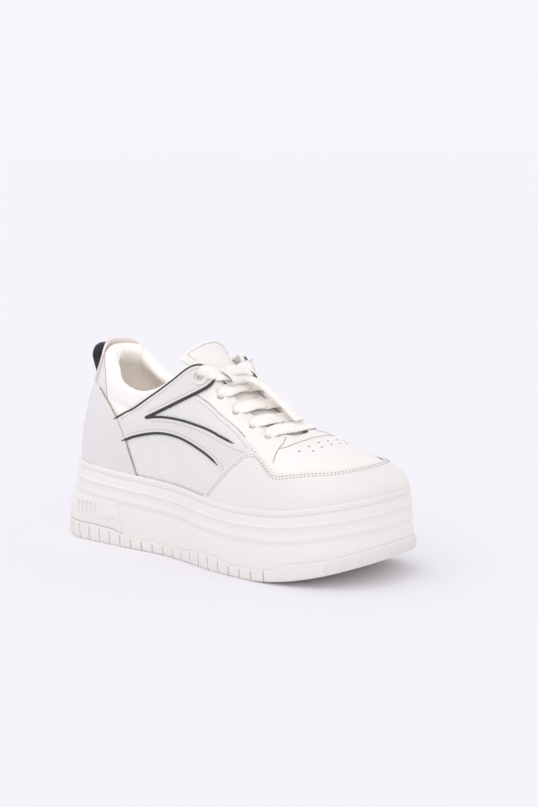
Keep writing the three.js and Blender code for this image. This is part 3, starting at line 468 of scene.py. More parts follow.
# ------------------------------------------------------------------ upper
# One lasted shell: smooth white leather outside, a fabric lining inside, foam rolled into the collar.
# Each row of LAST gives, for a place round the shoe, the top edge, how the wall leaves the rim (rise,
# out), how it comes into the top edge (flow forwards, spread sideways, drop below) and the padding.
LAST_COLUMNS = ("round", "x", "y", "z", "rise", "out", "flow", "spread", "drop", "pad")
LAST = np.array([
    (0.000, 31.5, 0, 133.5, 36, -0.5, -7, 0, 18, 11),
    (0.085, 40.0, -18.5, 130.5, 33, 0.0, -4, 3, 18, 11),
    (0.130, 50.0, -24.5, 121.0, 28, 1.0, -1, 4, 16, 10),
    (0.158, 61.0, -27.5, 111.5, 24, 1.5, 0, 4, 14, 8.5),
    (0.180, 78.0, -28.5, 107.0, 22, 1.8, 0, 4, 13, 7),
    (0.204, 97.0, -28, 111.0, 24, 2.0, 0, 5, 13, 6),
    (0.226, 112.0, -26, 120.3, 26, 2.0, 0, 6, 14, 4.5),
    (0.243, 124.5, -23.5, 129.8, 26, 2.0, 0, 8, 13, 2.6),
    (0.258, 134.5, -20, 132.5, 26, 2.0, 0, 10, 10, 2.4),
    (0.272, 141.5, -15, 125.6, 26, 1.5, 0, 13, 5.5, 2.4),
    (0.290, 151.5, -15, 114.4, 25, 1.0, 0, 16, 2.8, 2.4),
    (0.315, 172.0, -15, 100.4, 23, 1.0, 0, 18, 1.2, 2.4),
    (0.345, 190.0, -15, 91.2, 20, 1.0, 2, 19, 1.0, 2.4),
    (0.385, 198.5, -10, 88.6, 17, 1.2, 12, 19, 4, 2.4),
    (0.440, 201.5, -4, 87.6, 15, 1.5, 27, 13, 7, 2.4),
    (0.500, 202.0, 1, 87.8, 15, 1.5, 34, 0, 8, 2.4),
    (0.560, 201.5, 6, 88.0, 14, 1.5, 26, -12, 7, 2.4),
    (0.615, 199.0, 12, 88.6, 16, 1.2, 12, -17, 3, 2.4),
    (0.655, 191.0, 16.5, 90.0, 20, 1.0, 2, -18, 1.0, 2.4),
    (0.685, 173.0, 16.5, 98.6, 24, 1.0, 0, -17, 2.2, 2.4),
    (0.710, 152.0, 16.5, 113.2, 26, 1.0, 0, -15, 4.5, 2.4),
    (0.728, 140.5, 17, 125.2, 26, 1.5, 0, -12, 7, 2.4),
    (0.742, 134.5, 19.5, 133.5, 27, 1.5, 0, -9, 10, 2.4),
    (0.757, 125.0, 23, 130.0, 27, 1.5, 0, -7, 13, 2.6),
    (0.774, 112.0, 25.5, 120.5, 27, 1.5, 0, -5, 14, 4.5),
    (0.796, 97.0, 27, 111.5, 25, 1.5, 0, -4, 13, 6),
    (0.820, 78.0, 27.5, 107.5, 23, 1.2, 0, -4, 13, 7),
    (0.842, 61.0, 27, 111.5, 24, 1.0, 0, -4, 14, 8.5),
    (0.870, 50.0, 24.5, 121.0, 28, 1.0, -1, -4, 16, 10),
    (0.915, 40.0, 18.5, 130.5, 33, 0.0, -4, -3, 18, 11),
])
first, second, final = LAST[0].copy(), LAST[1].copy(), LAST[-1].copy()
first[0], second[0], final[0] = 1.0, second[0] + 1, final[0] - 1
AROUND = dict(zip(LAST_COLUMNS, np.vstack([final, LAST, first, second]).T))


def station(lap, name):
    return through(AROUND, "round", name, np.mod(lap, 1.0))


CREASES = (                      # from, to, half width, depth: soft folds of worn-in leather
    ((222, -34, 72), (246, -22, 74), 5.0, 0.9), ((224, -28, 78), (236, -22, 79), 3.5, 0.5),
    ((214, -36, 73), (222, -28, 79), 3.5, 0.6), ((226, 34, 73), (247, 22, 75), 5.0, 0.8),
    ((212, 30, 80), (222, 24, 82), 3.5, 0.4), ((246, -8, 77), (250, 12, 77), 5.0, 0.5),
    ((58, -31, 104), (76, -31, 97), 3.0, 0.7), ((64, -30, 107), (80, -30, 103), 2.5, 0.45),
    ((46, -29, 104), (50, -29, 88), 3.0, 0.5), ((60, 31, 104), (78, 31, 98), 3.0, 0.6),
    ((112, -34, 76), (128, -37, 58), 4.0, 0.6), ((96, -34, 74), (104, -35, 56), 4.0, 0.45),
    ((150, -32, 98), (160, -36, 88), 3.0, 0.4), ((196, -30, 84), (204, -34, 76), 3.0, 0.5),
    ((20, -26, 96), (34, -30, 84), 6.0, 0.5),
    ((47, -30, 112), (60, -31, 99), 3.6, 0.8), ((57, -31, 101), (78, -31, 95), 3.6, 0.9),
    ((74, -31, 95), (92, -31, 99), 3.4, 0.8),
    ((47, 29, 112), (60, 31, 99), 3.6, 0.8), ((57, 31, 101), (78, 31, 95), 3.6, 0.9),
    ((74, 31, 95), (92, 31, 99), 3.4, 0.8),
    ((44, -25, 127), (46, -28, 113), 1.7, 0.5), ((47.5, -26, 124), (50, -29, 112), 1.5, 0.45),
    ((40, -24, 128), (42, -27, 112), 1.5, 0.4),
    ((45, 25, 126), (47, 28, 113), 1.7, 0.5))


def upper_face(lap, up):
    """Outer face of the upper: `up` is 0 at the rim and 1 at the top edge."""
    lap, up = np.broadcast_arrays(np.asarray(lap, float), np.asarray(up, float))
    x = edge(lap)[..., 0]
    plan = outline(lap, cup_inset(x) + GAP + 0.2)
    start = stacked(plan[..., 0], plan[..., 1], rim_height(x))
    away = unit(outline(lap, 0.0) - outline(lap, 1.0)) * station(lap, "out")[..., None]
    low = start + stacked(away[..., 0], away[..., 1], station(lap, "rise"))
    top = stacked(station(lap, "x"), station(lap, "y"), station(lap, "z"))
    high = top + stacked(station(lap, "flow"), -station(lap, "spread"), -station(lap, "drop"))
    t = up[..., None]
    face = start * (1 - t) ** 3 + low * 3 * t * (1 - t) ** 2 + high * 3 * t * t * (1 - t) + top * t**3
    inwards = unit(stacked(0, 0.8 - face[..., 1], 62 - face[..., 2]))
    sink = 0
    for begin, end, half, depth in CREASES:
        run = np.subtract(end, begin)
        share = np.clip((face - begin) @ run / (run @ run), 0, 1)[..., None]
        off = np.linalg.norm(face - begin - share * run, axis=-1, keepdims=True)
        sink = sink + depth * np.exp(-((off / half) ** 2)) * (0.35 + 2.6 * share * (1 - share))
    return face + inwards * sink


def upper_normal(lap, up):
    e = 0.004
    across = upper_face(lap + e, up) - upper_face(lap - e, up)
    climb = upper_face(lap, np.minimum(up + e, 1)) - upper_face(lap, np.maximum(up - e, 0))
    return unit(np.cross(across, climb))


def lifted(lap, up, by):
    """Points `by` millimetres off the upper's face."""
    return upper_face(lap, up) + upper_normal(lap, up) * np.asarray(by)[..., None]


def up_at(lap, back):
    """How far up the face lies the point `back` millimetres from the top edge."""
    ups = np.linspace(1, 0, 501)
    span = np.linalg.norm(upper_face(np.full_like(ups, lap), ups) - upper_face(lap, 1.0), axis=-1)
    return float(np.interp(back, span, ups))


def wall_at(lap, up):
    return SHELL + (station(lap, "pad") - SHELL) * step(0.62, 0.97, up)


EYELETS = (0.2596, 0.288, 0.305, 0.324, 0.346)      # outer side, from the top
HOLE = 4.6


def in_top_pair(lap):
    return min(lap, 1 - lap) < 0.27


def set_back(lap):
    """From the throat's edge to the middle of a hole: the top pair lies further down the straps."""
    return 11.0 if in_top_pair(lap) else 9.0


eyelet_places = [(r, up_at(r, set_back(r))) for top_down in EYELETS for r in (top_down, 1 - top_down)]

rounds = even_rounds(330, 8)
heel_to_toe = edge(rounds)[..., 0]
shell_rows = []
for by in (SHELL, 0):
    plan = outline(rounds, cup_inset(heel_to_toe) + 0.2 + GAP + by)
    shell_rows.append(stacked(plan[..., 0], plan[..., 1], rim_height(heel_to_toe) - CUP_DEPTH + GAP))
shell_rows += [upper_face(rounds, np.full_like(rounds, up)) for up in np.linspace(0, 1, 56)]
half = wall_at(rounds, 1.0) / 2
normal = upper_normal(rounds, np.ones_like(rounds))
climb = unit(upper_face(rounds, 1.0) - upper_face(rounds, 0.98))
for turn in np.linspace(0, math.pi, 12)[1:-1]:
    shell_rows.append(upper_face(rounds, 1.0) + normal * (half * (math.cos(turn) - 1))[:, None]
                      + climb * (half * 0.8 * math.sin(turn))[:, None])
inside_from = len(shell_rows) + 6
for up in np.linspace(0.985, 0.03, 34):
    shell_rows.append(lifted(rounds, np.full_like(rounds, up), -wall_at(rounds, up)))
shell_rows.append(shell_rows[0])
shell = formed("shell", shell_rows)
columns = len(rounds) - 1
lined = [face.index // columns >= inside_from for face in shell.data.polygons]
shell.data.polygons.foreach_set("material_index", [int(f) for f in lined])
punches = []
for r, up in eyelet_places:
    bpy.ops.mesh.primitive_cylinder_add(vertices=20, radius=HOLE / 2000, depth=0.009)
    punch = bpy.context.object
    raised = 2.6 if in_top_pair(r) else 0            # the top pair stops at the lining
    set_square(punch, lifted(r, up, raised), upper_normal(r, up))
    punches.append(punch)
punches = joined("punches", punches)
worked(shell, "BOOLEAN", object=punches, operation="DIFFERENCE", solver="EXACT")

leather = finish("white_leather", "F2EEEA", 0.42, Coat_Weight=0.08, Coat_Roughness=0.35)
grain = pattern(leather, "Voronoi", Scale=1500)
fold = pattern(leather, "Noise", Scale=90, Detail=4)
tone = pattern(leather, "Noise", Scale=22, Detail=2)
tint(leather, tone, "Fac", 0.3, 0.72, ("F1EDE6", "F5F1EB"))
raise_bump(leather, [(grain, "Distance"), (fold, "Fac")], [0.00008, 0.0003])
lining = finish("lining_fabric", "CDBEAF", 0.95, Sheen_Weight=0.35)
knit = pattern(lining, "Voronoi", Scale=750)
shade = pattern(lining, "Noise", Scale=40, Detail=3)
tint(lining, shade, "Fac", 0.3, 0.7, ("FAF1E8", "FFF9F2"))
raise_bump(lining, [(knit, "Distance")], [0.00018])
done(shell, (leather, lining), "leather", "upper")

# ------------------------------------------------------------------ quarters
# The sides between heel counter, straps and lace facing: tumbled leather with a pebbled grain, a
# little greyer than the rest, laid on the shell.


def found(wanted, axes, rounds):
    """Places (round, up) of the points of the upper's face whose coordinates `axes` are `wanted`."""
    wanted = np.asarray(wanted, float)
    want = wanted.reshape(-1, 2)
    rr, uu = np.meshgrid(rounds, np.linspace(0, 1, 50), indexing="ij")
    net = upper_face(rr, uu)[..., axes].reshape(-1, 2)
    near = np.array([np.argmin(((net - p) ** 2).sum(1)) for p in want])
    r, u, e = rr.ravel()[near], uu.ravel()[near], 1e-4
    for _ in range(9):
        off = want - upper_face(r, u)[:, axes]
        by_r = (upper_face(r + e, u) - upper_face(r - e, u))[:, axes] / (2 * e)
        by_u = (upper_face(r, u + e) - upper_face(r, u - e))[:, axes] / (2 * e)
        det = by_r[:, 0] * by_u[:, 1] - by_r[:, 1] * by_u[:, 0]
        det = np.where(np.abs(det) < 1e-6, 1e-6, det)
        r = r + np.clip((off[:, 0] * by_u[:, 1] - off[:, 1] * by_u[:, 0]) / det, -0.02, 0.02)
        u = np.clip(u + np.clip((by_r[:, 0] * off[:, 1] - by_r[:, 1] * off[:, 0]) / det, -0.08, 0.08), 0, 1)
    return r.reshape(wanted.shape[:-1]), u.reshape(wanted.shape[:-1])


def on_side(x, z, side):
    """The face's place that shows at x, z from one side."""
    ends = (0.03, 0.47) if side == "outer" else (0.97, 0.53)
    return found(np.stack([x, z], -1), [0, 2], np.linspace(*ends, 90))


def on_top(x, y):
    """The face's place at x, y seen from above, ahead of the laces."""
    return found(np.stack([x, y], -1), [0, 1], np.linspace(0.3, 0.7, 90))


def drawn(line, count):
    """`count` even points on a smooth line through a table of x and z."""
    xs, zs = np.asarray(line["x"], float), np.asarray(line["z"], float)
    run = np.concatenate([[0], np.cumsum(np.hypot(np.diff(xs), np.diff(zs)))])
    table = {"run": run, "x": xs, "z": zs}
    fine = np.linspace(0, run[-1], 400)
    x, z = through(table, "run", "x", fine), through(table, "run", "z", fine)
    length = np.concatenate([[0], np.cumsum(np.hypot(np.diff(x), np.diff(z)))])
    at = np.linspace(0, length[-1], count)
    return np.stack([np.interp(at, length, x), np.interp(at, length, z)], 1)


def laid(name, low, high, side, lift, thick, bevel=0.25):
    """A sheet of leather on the shell between two drawn lines, with the same number of points each."""
    share = np.linspace(0, 1, max(4, int(np.abs(high - low).max() / 2.2)))[:, None, None]
    net = low[None] * (1 - share) + high[None] * share
    r, u = on_side(net[..., 0], net[..., 1], side)
    rows = lifted(r, u, lift + thick)
    if side == "inner":
        rows = rows[::-1]
    piece = formed(name, rows)
    worked(piece, "SOLIDIFY", thickness=thick / 1000, offset=-1)
    return bevelled(piece, bevel / 1000)


QUARTER_TOP = {"x": (60, 81, 102, 120, 131, 138, 148, 159, 171, 181, 190),
               "z": (80, 93, 105, 112, 112.6, 111, 106, 100, 94, 88.2, 83)}
QUARTER_FOOT = {"x": (62, 90, 120, 150, 172), "z": (53.3, 51.9, 50.2, 48.3, 47.2)}
pebbled = finish("tumbled_leather", "E4E2E4", 0.5)
drift = pattern(pebbled, "Noise", Scale=60, Detail=3)
pebble = pattern(pebbled, "Voronoi", Scale=640, feature="SMOOTH_F1")
vein = pattern(pebbled, "Noise", Scale=170, Detail=3)
tint(pebbled, drift, "Fac", 0.25, 0.8, ("E6E3DF", "EAE7E3"))
raise_bump(pebbled, [(pebble, "Distance"), (vein, "Fac")], [0.0003, 0.0007])
for side in ("outer", "inner"):
    quarter = laid("quarter_" + side, drawn(QUARTER_FOOT, 100), drawn(QUARTER_TOP, 100), side, 0.05, 0.5)
    done(quarter, pebbled, "leather")

# ------------------------------------------------------------------ straps
# On each side one overlay of white leather leaves the heel counter and forks: the upper arm is the
# strap to the top eyelet, the lower one a leg to the toe overlay. Their cut edges are painted black.
STRAP_TOP = {"x": (57, 64, 81, 91, 102, 110, 117, 124, 130, 135, 139.5),
             "z": (85, 89, 98, 104, 111, 116.5, 121.4, 126.6, 129.8, 130.2, 127.4)}
STRAP_FOOT = {"x": (92, 105, 118, 131, 139, 143, 143.5), "z": (92, 98, 104, 110, 114.2, 118, 122)}
LEG_TOP = {"x": (92, 105, 117, 129, 141, 153, 165, 175, 184, 193),
           "z": (92, 94, 94.4, 94, 92.7, 90.2, 87, 84.2, 82.6, 81)}
LEG_FOOT = {"x": (65, 73, 82, 92, 103, 115, 128, 141, 154, 163, 168, 171),
            "z": (72.3, 75, 78.3, 81, 83, 83.4, 82.2, 79.3, 75, 71, 67.5, 64)}
ROOT = {"x": (60, 76, 92), "z": (80, 86.4, 92)}
FORK = 30                        # points along the root before it forks, of 120
cap_leather = finish("overlay_leather", "F4F1EE", 0.4, Coat_Weight=0.1, Coat_Roughness=0.3)
grain = pattern(cap_leather, "Voronoi", Scale=1300)
pull = pattern(cap_leather, "Noise", Scale=70, Detail=3)
tone = pattern(cap_leather, "Noise", Scale=18, Detail=2)
tint(cap_leather, tone, "Fac", 0.3, 0.72, ("E9E5E0", "EDE9E4"))
raise_bump(cap_leather, [(grain, "Distance"), (pull, "Fac")], [0.00006, 0.0002])
# Two darker copies of the same overlay leather, painted shade: one for the heel counter and the rear panel,
# which face away from the light, one for the straps.
shaded_heel_leather, shaded_strap_leather = cap_leather.copy(), cap_leather.copy()
shaded_heel_leather.name, shaded_strap_leather.name = "shaded_heel_leather", "shaded_strap_leather"
for material, codes in ((shaded_heel_leather, ("E0DCDA", "E4E0DE")), (shaded_strap_leather, ("E1DDDA", "E5E1DE"))):
    tones = next(n for n in material.node_tree.nodes if n.type == "VALTORGB").color_ramp.elements
    tones[0].color, tones[1].color = colour(codes[0]), colour(codes[1])
edge_paint = finish("edge_paint", "1E1F22", 0.38, Coat_Weight=0.3, Coat_Roughness=0.25)
brush = pattern(edge_paint, "Noise", Scale=700, Detail=2)
tint(edge_paint, brush, "Fac", 0.3, 0.75, ("17181A", "2A2B2F"))
raise_bump(edge_paint, [(brush, "Fac")], [0.00012])


def swept(name, path, face, wide, thick, around=10, square=2.0):
    """A closed strip along `path`, its section an oval `wide` across and `thick` along `face`."""
    path, face = np.asarray(path, float), np.asarray(face, float)
    forward = unit(np.gradient(path, axis=0))
    across = unit(np.cross(forward, face))
    out = np.cross(across, forward)
    turn = np.linspace(2 * math.pi, 0, around + 1)
    c, s = np.cos(turn), np.sin(turn)
    a, b = np.sign(c) * np.abs(c) ** (2 / square), np.sign(s) * np.abs(s) ** (2 / square)
    wide = np.broadcast_to(np.asarray(wide, float), len(path))[:, None, None]
    thick = np.broadcast_to(np.asarray(thick, float), len(path))[:, None, None]
    rings = (path[:, None] + across[:, None] * a[None, :, None] * wide / 2
             + out[:, None] * b[None, :, None] * thick / 2)
    ends = [np.broadcast_to(path[k], (1, around + 1, 3)) for k in (0, -1)]
    strip = formed(name, np.concatenate([ends[0], rings, ends[1]]))
    bpy.ops.object.mode_set(mode="EDIT")
    bpy.ops.mesh.select_all(action="SELECT")
    bpy.ops.mesh.normals_make_consistent(inside=False)
    bpy.ops.object.mode_set(mode="OBJECT")
    return strip


def on_line(line, side, lift):
    """Points and normals of a drawn line on the shell."""
    r, u = on_side(line[:, 0], line[:, 1], side)
    return lifted(r, u, lift), upper_normal(r, u)


for side in ("outer", "inner"):
    root = drawn(ROOT, FORK)
    leg_foot, strap_top = drawn(LEG_FOOT, 120), drawn(STRAP_TOP, 120)
    leg_top = np.vstack([root, drawn(LEG_TOP, 121 - FORK)[1:]])
    strap_foot = np.vstack([root, drawn(STRAP_FOOT, 121 - FORK)[1:]])
    rows = []
    for low, high in ((leg_foot, leg_top), (strap_foot, strap_top)):
        for share in np.linspace(0, 1, 8):
            line = low * (1 - share) + high * share
            rows.append(on_line(line, side, 1.3)[0])
    fork = formed("strap_" + side, rows if side == "outer" else rows[::-1])
    # the faces between the two arms, past the fork, are taken out
    corners = {tuple(np.round(placed(p), 6)) for p in np.concatenate([rows[7][FORK:], rows[8][FORK:]])}
    at = [tuple(np.round(v.co, 6)) in corners for v in fork.data.vertices]
    bpy.ops.object.mode_set(mode="EDIT")
    bpy.ops.mesh.select_all(action="DESELECT")
    bpy.ops.object.mode_set(mode="OBJECT")
    for face in fork.data.polygons:
        face.select = all(at[v] for v in face.vertices)
    bpy.ops.object.mode_set(mode="EDIT")
    bpy.ops.mesh.select_mode(type="FACE")
    bpy.ops.mesh.delete(type="FACE")
    bpy.ops.object.mode_set(mode="OBJECT")
    worked(fork, "SOLIDIFY", thickness=0.0009, offset=-1)
    bevelled(fork, 0.00025)
    worked(fork, "BOOLEAN", object=punches, operation="DIFFERENCE", solver="EXACT")
    # The straps take the darker copy of the leather: painted shade.
    done(fork, shaded_strap_leather, "leather")
    paints = []
    for line, start, stop, wide in ((strap_top[4:], 62.5, 165.5, 1.5), (strap_foot[FORK:], 0, 165.5, 2.3),
                                    (leg_top[FORK:], 0, 175.5, 1.7), (leg_foot[4:], 70.5, 165.5, 1.9)):
        line = line[(line[:, 0] > start) & (line[:, 0] < stop)]
        path, face = on_line(line, side, 1.15)
        taper = 0.35 + 0.65 * step(0, 0.06, 1 - np.linspace(0, 1, len(path)))
        paints.append(swept("paint", path, face, wide * taper, 1.1))
    done(joined("strap_edge_" + side, paints), edge_paint, "webbing")
bpy.data.objects.remove(punches)

# ------------------------------------------------------------------ seams
# Where panels of the same leather meet there is only a fine line, drawn as a thin dark strip of painted
# shadow in the groove: along the lace facing, across the vamp, down to the toe overlay, and up each side of
# the heel to the collar.
FACING_SEAM = {"x": (138, 148, 159, 171, 181), "z": (111.5, 106.3, 100.2, 94.2, 88.6)}
COLLAR_SEAM = {"x": (54, 50, 46.5, 43, 41), "z": (97, 108, 118, 126, 130.5)}
VAMP_SEAM = {"x": (205, 208, 208.6, 209, 209, 209, 208.6, 208, 205),
             "z": (-28, -23, -18, -10, 2, 14, 22, 27, 32)}
FACING_FRONT = {"x": (200, 204, 205, 206, 207.5), "z": (-14, -22, -28, -32, -36.5)}
(seam_r, seam_u), (inner_r, inner_u) = [on_side(np.array(COLLAR_SEAM["x"], float),
                                                np.array(COLLAR_SEAM["z"], float), side)
                                        for side in ("outer", "inner")]
rows = []
for up in np.linspace(0.66, 1.0, 16):
    far = np.linspace(np.interp(up, inner_u, inner_r) - 1, np.interp(up, seam_u, seam_r), 60)
    rows.append(lifted(far, np.full_like(far, up), np.full_like(far, 0.35)))
rear = formed("rear_panel", rows)
worked(rear, "SOLIDIFY", thickness=0.0004, offset=-1)
# The rear panel takes the darker heel copy of the leather: painted shade.
done(rear, shaded_heel_leather, "overlay")
# Colour of the painted shadow in the seam grooves, mottled a little at random.
seam_shadow = finish("seam_shadow", "A99A8F", 0.8)
seam_shadow_mottle = pattern(seam_shadow, "Noise", Scale=200)
tint(seam_shadow, seam_shadow_mottle, "Fac", 0.3, 0.7, ("97887D", "BDAFA4"))
seam_shadow_strips = []
for side in ("outer", "inner"):
    for line, wide in ((drawn(FACING_SEAM, 60), 0.55), (drawn(COLLAR_SEAM, 50), 0.5)):
        path, face = on_line(line, side, 0.02)
        seam_shadow_strips.append(swept("seam", path, face, wide, 0.5))
front = drawn(FACING_FRONT, 50)
for line in (drawn(VAMP_SEAM, 90), front, front * (1, -1) + (0, 4)):
    r, u = on_top(line[:, 0], line[:, 1])
    seam_shadow_strips.append(swept("seam", lifted(r, u, 0.02), upper_normal(r, u), 0.6, 0.5))
done(joined("seam_shadow_lines", seam_shadow_strips), seam_shadow, "webbing")

# Vent holes in two staggered rows across the vamp, each drawn as a thin dark disc on the leather: painted
# shade for the hollow of the hole.
vents = []
places = [(216.5, y) for y in (-21, -11, -1, 9, 19, 27)] + [(222.3, y) for y in (-14, -5, 5, 14, 22)]
r, u = on_top(*np.array(places, float).T)
for point, face in zip(lifted(r, u, 0.02), upper_normal(r, u)):
    bpy.ops.mesh.primitive_cylinder_add(vertices=12, radius=0.00062, depth=0.00025)
    vent = bpy.context.object
    set_square(vent, point, face)
    vents.append(vent)
vent_shade = finish("vent_shade", "5A4E47", 0.9)
done(joined("vamp_vents", vents), vent_shade, "webbing")

# ------------------------------------------------------------------ toe overlay and heel counter
# Two broad pieces of the same leather, lasted round the ends and stitched down: the one at the toe
# rises to a peak at each side, the one at the heel slopes forwards to the rim.


def both_sides(rounds, ups, ends):
    """A table of both sides from one side and the middle; a place and its mirror add up to `ends`."""
    return {"round": rounds + tuple(round(ends - r, 3) for r in rounds[-2::-1]), "up": ups + ups[-2::-1]}


TOE_CAP = both_sides((0.266, 0.276, 0.292, 0.308, 0.318, 0.326, 0.332, 0.338, 0.342, 0.346, 0.350, 0.356,
                      0.370, 0.390, 0.420, 0.500),
                     (0.0, 0.102, 0.24, 0.38, 0.468, 0.518, 0.528, 0.492, 0.446, 0.400, 0.376, 0.373,
                      0.394, 0.410, 0.415, 0.418), 1)
HEEL_COUNTER = both_sides((-0.186, -0.180, -0.174, -0.166, -0.158, -0.150, -0.140, -0.120, -0.090, 0),
                          (0, 0.196, 0.364, 0.528, 0.616, 0.658, 0.684, 0.705, 0.700, 0.700), 0)
for name, table, cad, columns in (("toe_overlay", TOE_CAP, "toe_cap", 260),
                                  ("heel_overlay", HEEL_COUNTER, "heel_counter", 170)):
    around = np.linspace(table["round"][0], table["round"][-1], columns)
    top = through(table, "round", "up", around)
    rows = [lifted(around, top * share, np.full_like(around, 1.6)) for share in np.linspace(0, 1, 26)]
    overlay = formed(name, rows)
    worked(overlay, "SOLIDIFY", thickness=0.0011, offset=-1)
    bevelled(overlay, 0.0003)
    # The heel overlay takes the darker heel copy of the leather: painted shade.
    done(overlay, cap_leather if name == "toe_overlay" else shaded_heel_leather, "overlay", cad)

# ------------------------------------------------------------------ heel tab
# A padded tab at the back of the collar, faced with soft pinkish leather inside, that stands a little
# above the collar's roll.
TAB_REACH, TAB_LOW, TAB_STAND, TAB_JOIN = 0.09, 0.66, 5.5, 0.66
side_steps = np.linspace(-1, 1, 41)
rows = []
for v in np.linspace(0, 1, 34):
    lap = side_steps * TAB_REACH
    low = TAB_LOW + 0.02 * np.abs(side_steps)
    if v <= TAB_JOIN:
        rows.append(lifted(lap, low + (1 - low) * v / TAB_JOIN, np.full_like(lap, 2.1)))
    else:
        over = (v - TAB_JOIN) / (1 - TAB_JOIN)
        rising = unit(upper_face(lap, 1.0) - upper_face(lap, 0.96))
        climb = (0.5 + TAB_STAND * (1 - side_steps**4)) * over
        rows.append(lifted(lap, np.ones_like(lap), np.full_like(lap, 2.1)) + rising * climb[:, None])
tab = formed("heel_pull_tab", rows)
worked(tab, "SOLIDIFY", thickness=0.0016, offset=-1)
bevelled(tab, 0.0006, 3)
suede = finish("tab_leather", "E8DCD8", 0.6, Sheen_Weight=0.2)
nap = pattern(suede, "Noise", Scale=500, Detail=3)
wash = pattern(suede, "Noise", Scale=30)
tint(suede, wash, "Fac", 0.3, 0.7, ("E6DAD5", "EDE3DF"))
raise_bump(suede, [(nap, "Fac")], [0.00012])
done(tab, suede, "overlay", "heel_tab")

# ------------------------------------------------------------------ pull loop
# Black ribbed webbing sewn to the back seam at both ends, standing out as a loop.
LOOP_WIDE, LOOP_THICK = 13.0, 1.5
LOOP = {"back": (0.1, 1.8, 6.0, 9.8, 9.6, 5.5, 0.2), "z": (110, 115, 121, 127, 132.5, 135.6, 136)}
spot = np.linspace(0.5, 1, 400)
back_line = upper_face(np.zeros_like(spot), spot)
back_x = np.interp(LOOP["z"], back_line[:, 2], back_line[:, 0])
back_x = back_x + np.maximum(np.array(LOOP["z"]) - back_line[-1, 2], 0) * 0.3
line = {"x": back_x - 3.6 - np.array(LOOP["back"]), "z": LOOP["z"]}
line = drawn(line, 60)
across = np.linspace(-0.5, 0.5, 13) * LOOP_WIDE
loop_rows = [stacked(p[0], -across, p[1]) for p in line]
loop = formed("pull_webbing", loop_rows)
worked(loop, "SOLIDIFY", thickness=LOOP_THICK / 1000, offset=0)
bevelled(loop, 0.0005, 3)
webbing = finish("black_webbing", "202225", 0.85, Sheen_Weight=0.3)
rib = pattern(webbing, "Wave", "UV", Scale=9, bands_direction="X")
pick = pattern(webbing, "Wave", "UV", Scale=26, bands_direction="Y")
tint(webbing, rib, "Fac", 0.1, 0.9, ("17181B", "2D3034"))
raise_bump(webbing, [(rib, "Fac"), (pick, "Fac")], [0.0003, 0.00015])
done(loop, webbing, "webbing", "pull_loop")

# ------------------------------------------------------------------ tongue
# A soft padded tongue of white leather, tucked under the vamp and the facings, its free top standing
# above the laces with a bare sewn label.
TONGUE_FRONT = ((208, 82.4, 14, 2.6, 0, 2.4), (201, 84.4, 15.5, 2.8, 0, 2.6))
UNDER_FACINGS = ((0.345, 1.6, 3.0), (0.328, 1.5, 3.4), (0.310, 1.4, 3.8), (0.292, 1.4, 4.2),
                 (0.276, 1.4, 5.0))
TONGUE_TOP = ((130.5, 133.2, 18.0, 6.6, 3, 6.0), (125.5, 139.6, 23.0, 9.0, 6.5, 8.0),
              (121.5, 144.6, 24.5, 10, 8, 8.0))
TUCKS = (7.5, 4.0, 0.8)


def swing(x):
    return TOE_SWING * max((x - SWING_START) / (LENGTH - SWING_START), 0) ** 2


def tongue_row(x, z, half, fall, wrap):
    s = np.linspace(-1, 1, 11)
    return stacked(x - wrap * s * s, half * s + swing(x) + 0.8, z - fall * s * s)


def tongue_under(lap, crown):
    sides = [np.array([lifted(r, up_at(r, back), -(SHELL + GAP + 0.25)) for back in TUCKS])
             for r in (lap, 1 - lap)]
    start, end = sides[0][-1], sides[1][-1]
    middle = (start + end) / 2 + (crown, 0, crown * 1.6)
    t = np.linspace(0, 1, 7)[1:-1, None]
    bridge = start * (1 - t) ** 2 + middle * 2 * t * (1 - t) + end * t * t
    return np.vstack([sides[0], bridge, sides[1][::-1]])


def tongue_middle(lap):
    places, crowns, _ = zip(*UNDER_FACINGS[::-1])
    crown = np.interp(lap, places, crowns)
    return tongue_under(lap, crown)[5]


outer = ([tongue_row(*row[:5]) for row in TONGUE_FRONT] + [tongue_under(*row[:2]) for row in UNDER_FACINGS]
         + [tongue_row(*row[:5]) for row in TONGUE_TOP])
thick = [row[-1] for row in TONGUE_FRONT + UNDER_FACINGS + TONGUE_TOP]
thick[-1] *= 0.6
outer = np.array(outer)
climb = np.gradient(outer, axis=0)
inwards = unit(np.cross(climb, np.gradient(outer, axis=1)))
s = np.abs(np.linspace(-1, 1, 11))
inner = outer + inwards * (np.array(thick)[:, None] * (1 - 0.6 * s**3))[..., None]
loop_round = np.concatenate([outer, inner[:, ::-1], outer[:, :1]], axis=1)
ends = [np.broadcast_to((outer[k, 5] + inner[k, 5]) / 2, (1,) + loop_round.shape[1:]) for k in (0, -1)]
pad = formed("tongue_pad", np.concatenate([ends[0], loop_round, ends[1]]))
worked(pad, "SUBSURF", levels=3, render_levels=3)
bpy.ops.object.shade_smooth()
done(pad, leather, "leather", "tongue")

# ------------------------------------------------------------------ laces
# One flat woven lace through ten punched holes: a bar at the bottom, then crossings, the two ends
# tied in a small knot, one end lying down the throat and tucked in.
LACE_WIDE, LACE_THICK, ADVANCE, KNOT_LEVEL = 9.6, 1.2, 0.005, 0.277
UPWARD = np.array([0.5, 0, 0.85])
woven = finish("lace_weave", "F8F3E8", 0.85, Sheen_Weight=0.25)
weft = pattern(woven, "Wave", "UV", Scale=16, bands_direction="Y")
plait = pattern(woven, "Wave", "UV", Scale=10, bands_direction="X")
dirt = pattern(woven, "Noise", Scale=120)
tint(woven, dirt, "Fac", 0.3, 0.7, ("FAF3E9", "FFFCF6"))
raise_bump(woven, [(weft, "Fac"), (plait, "Fac")], [0.00006, 0.0001])


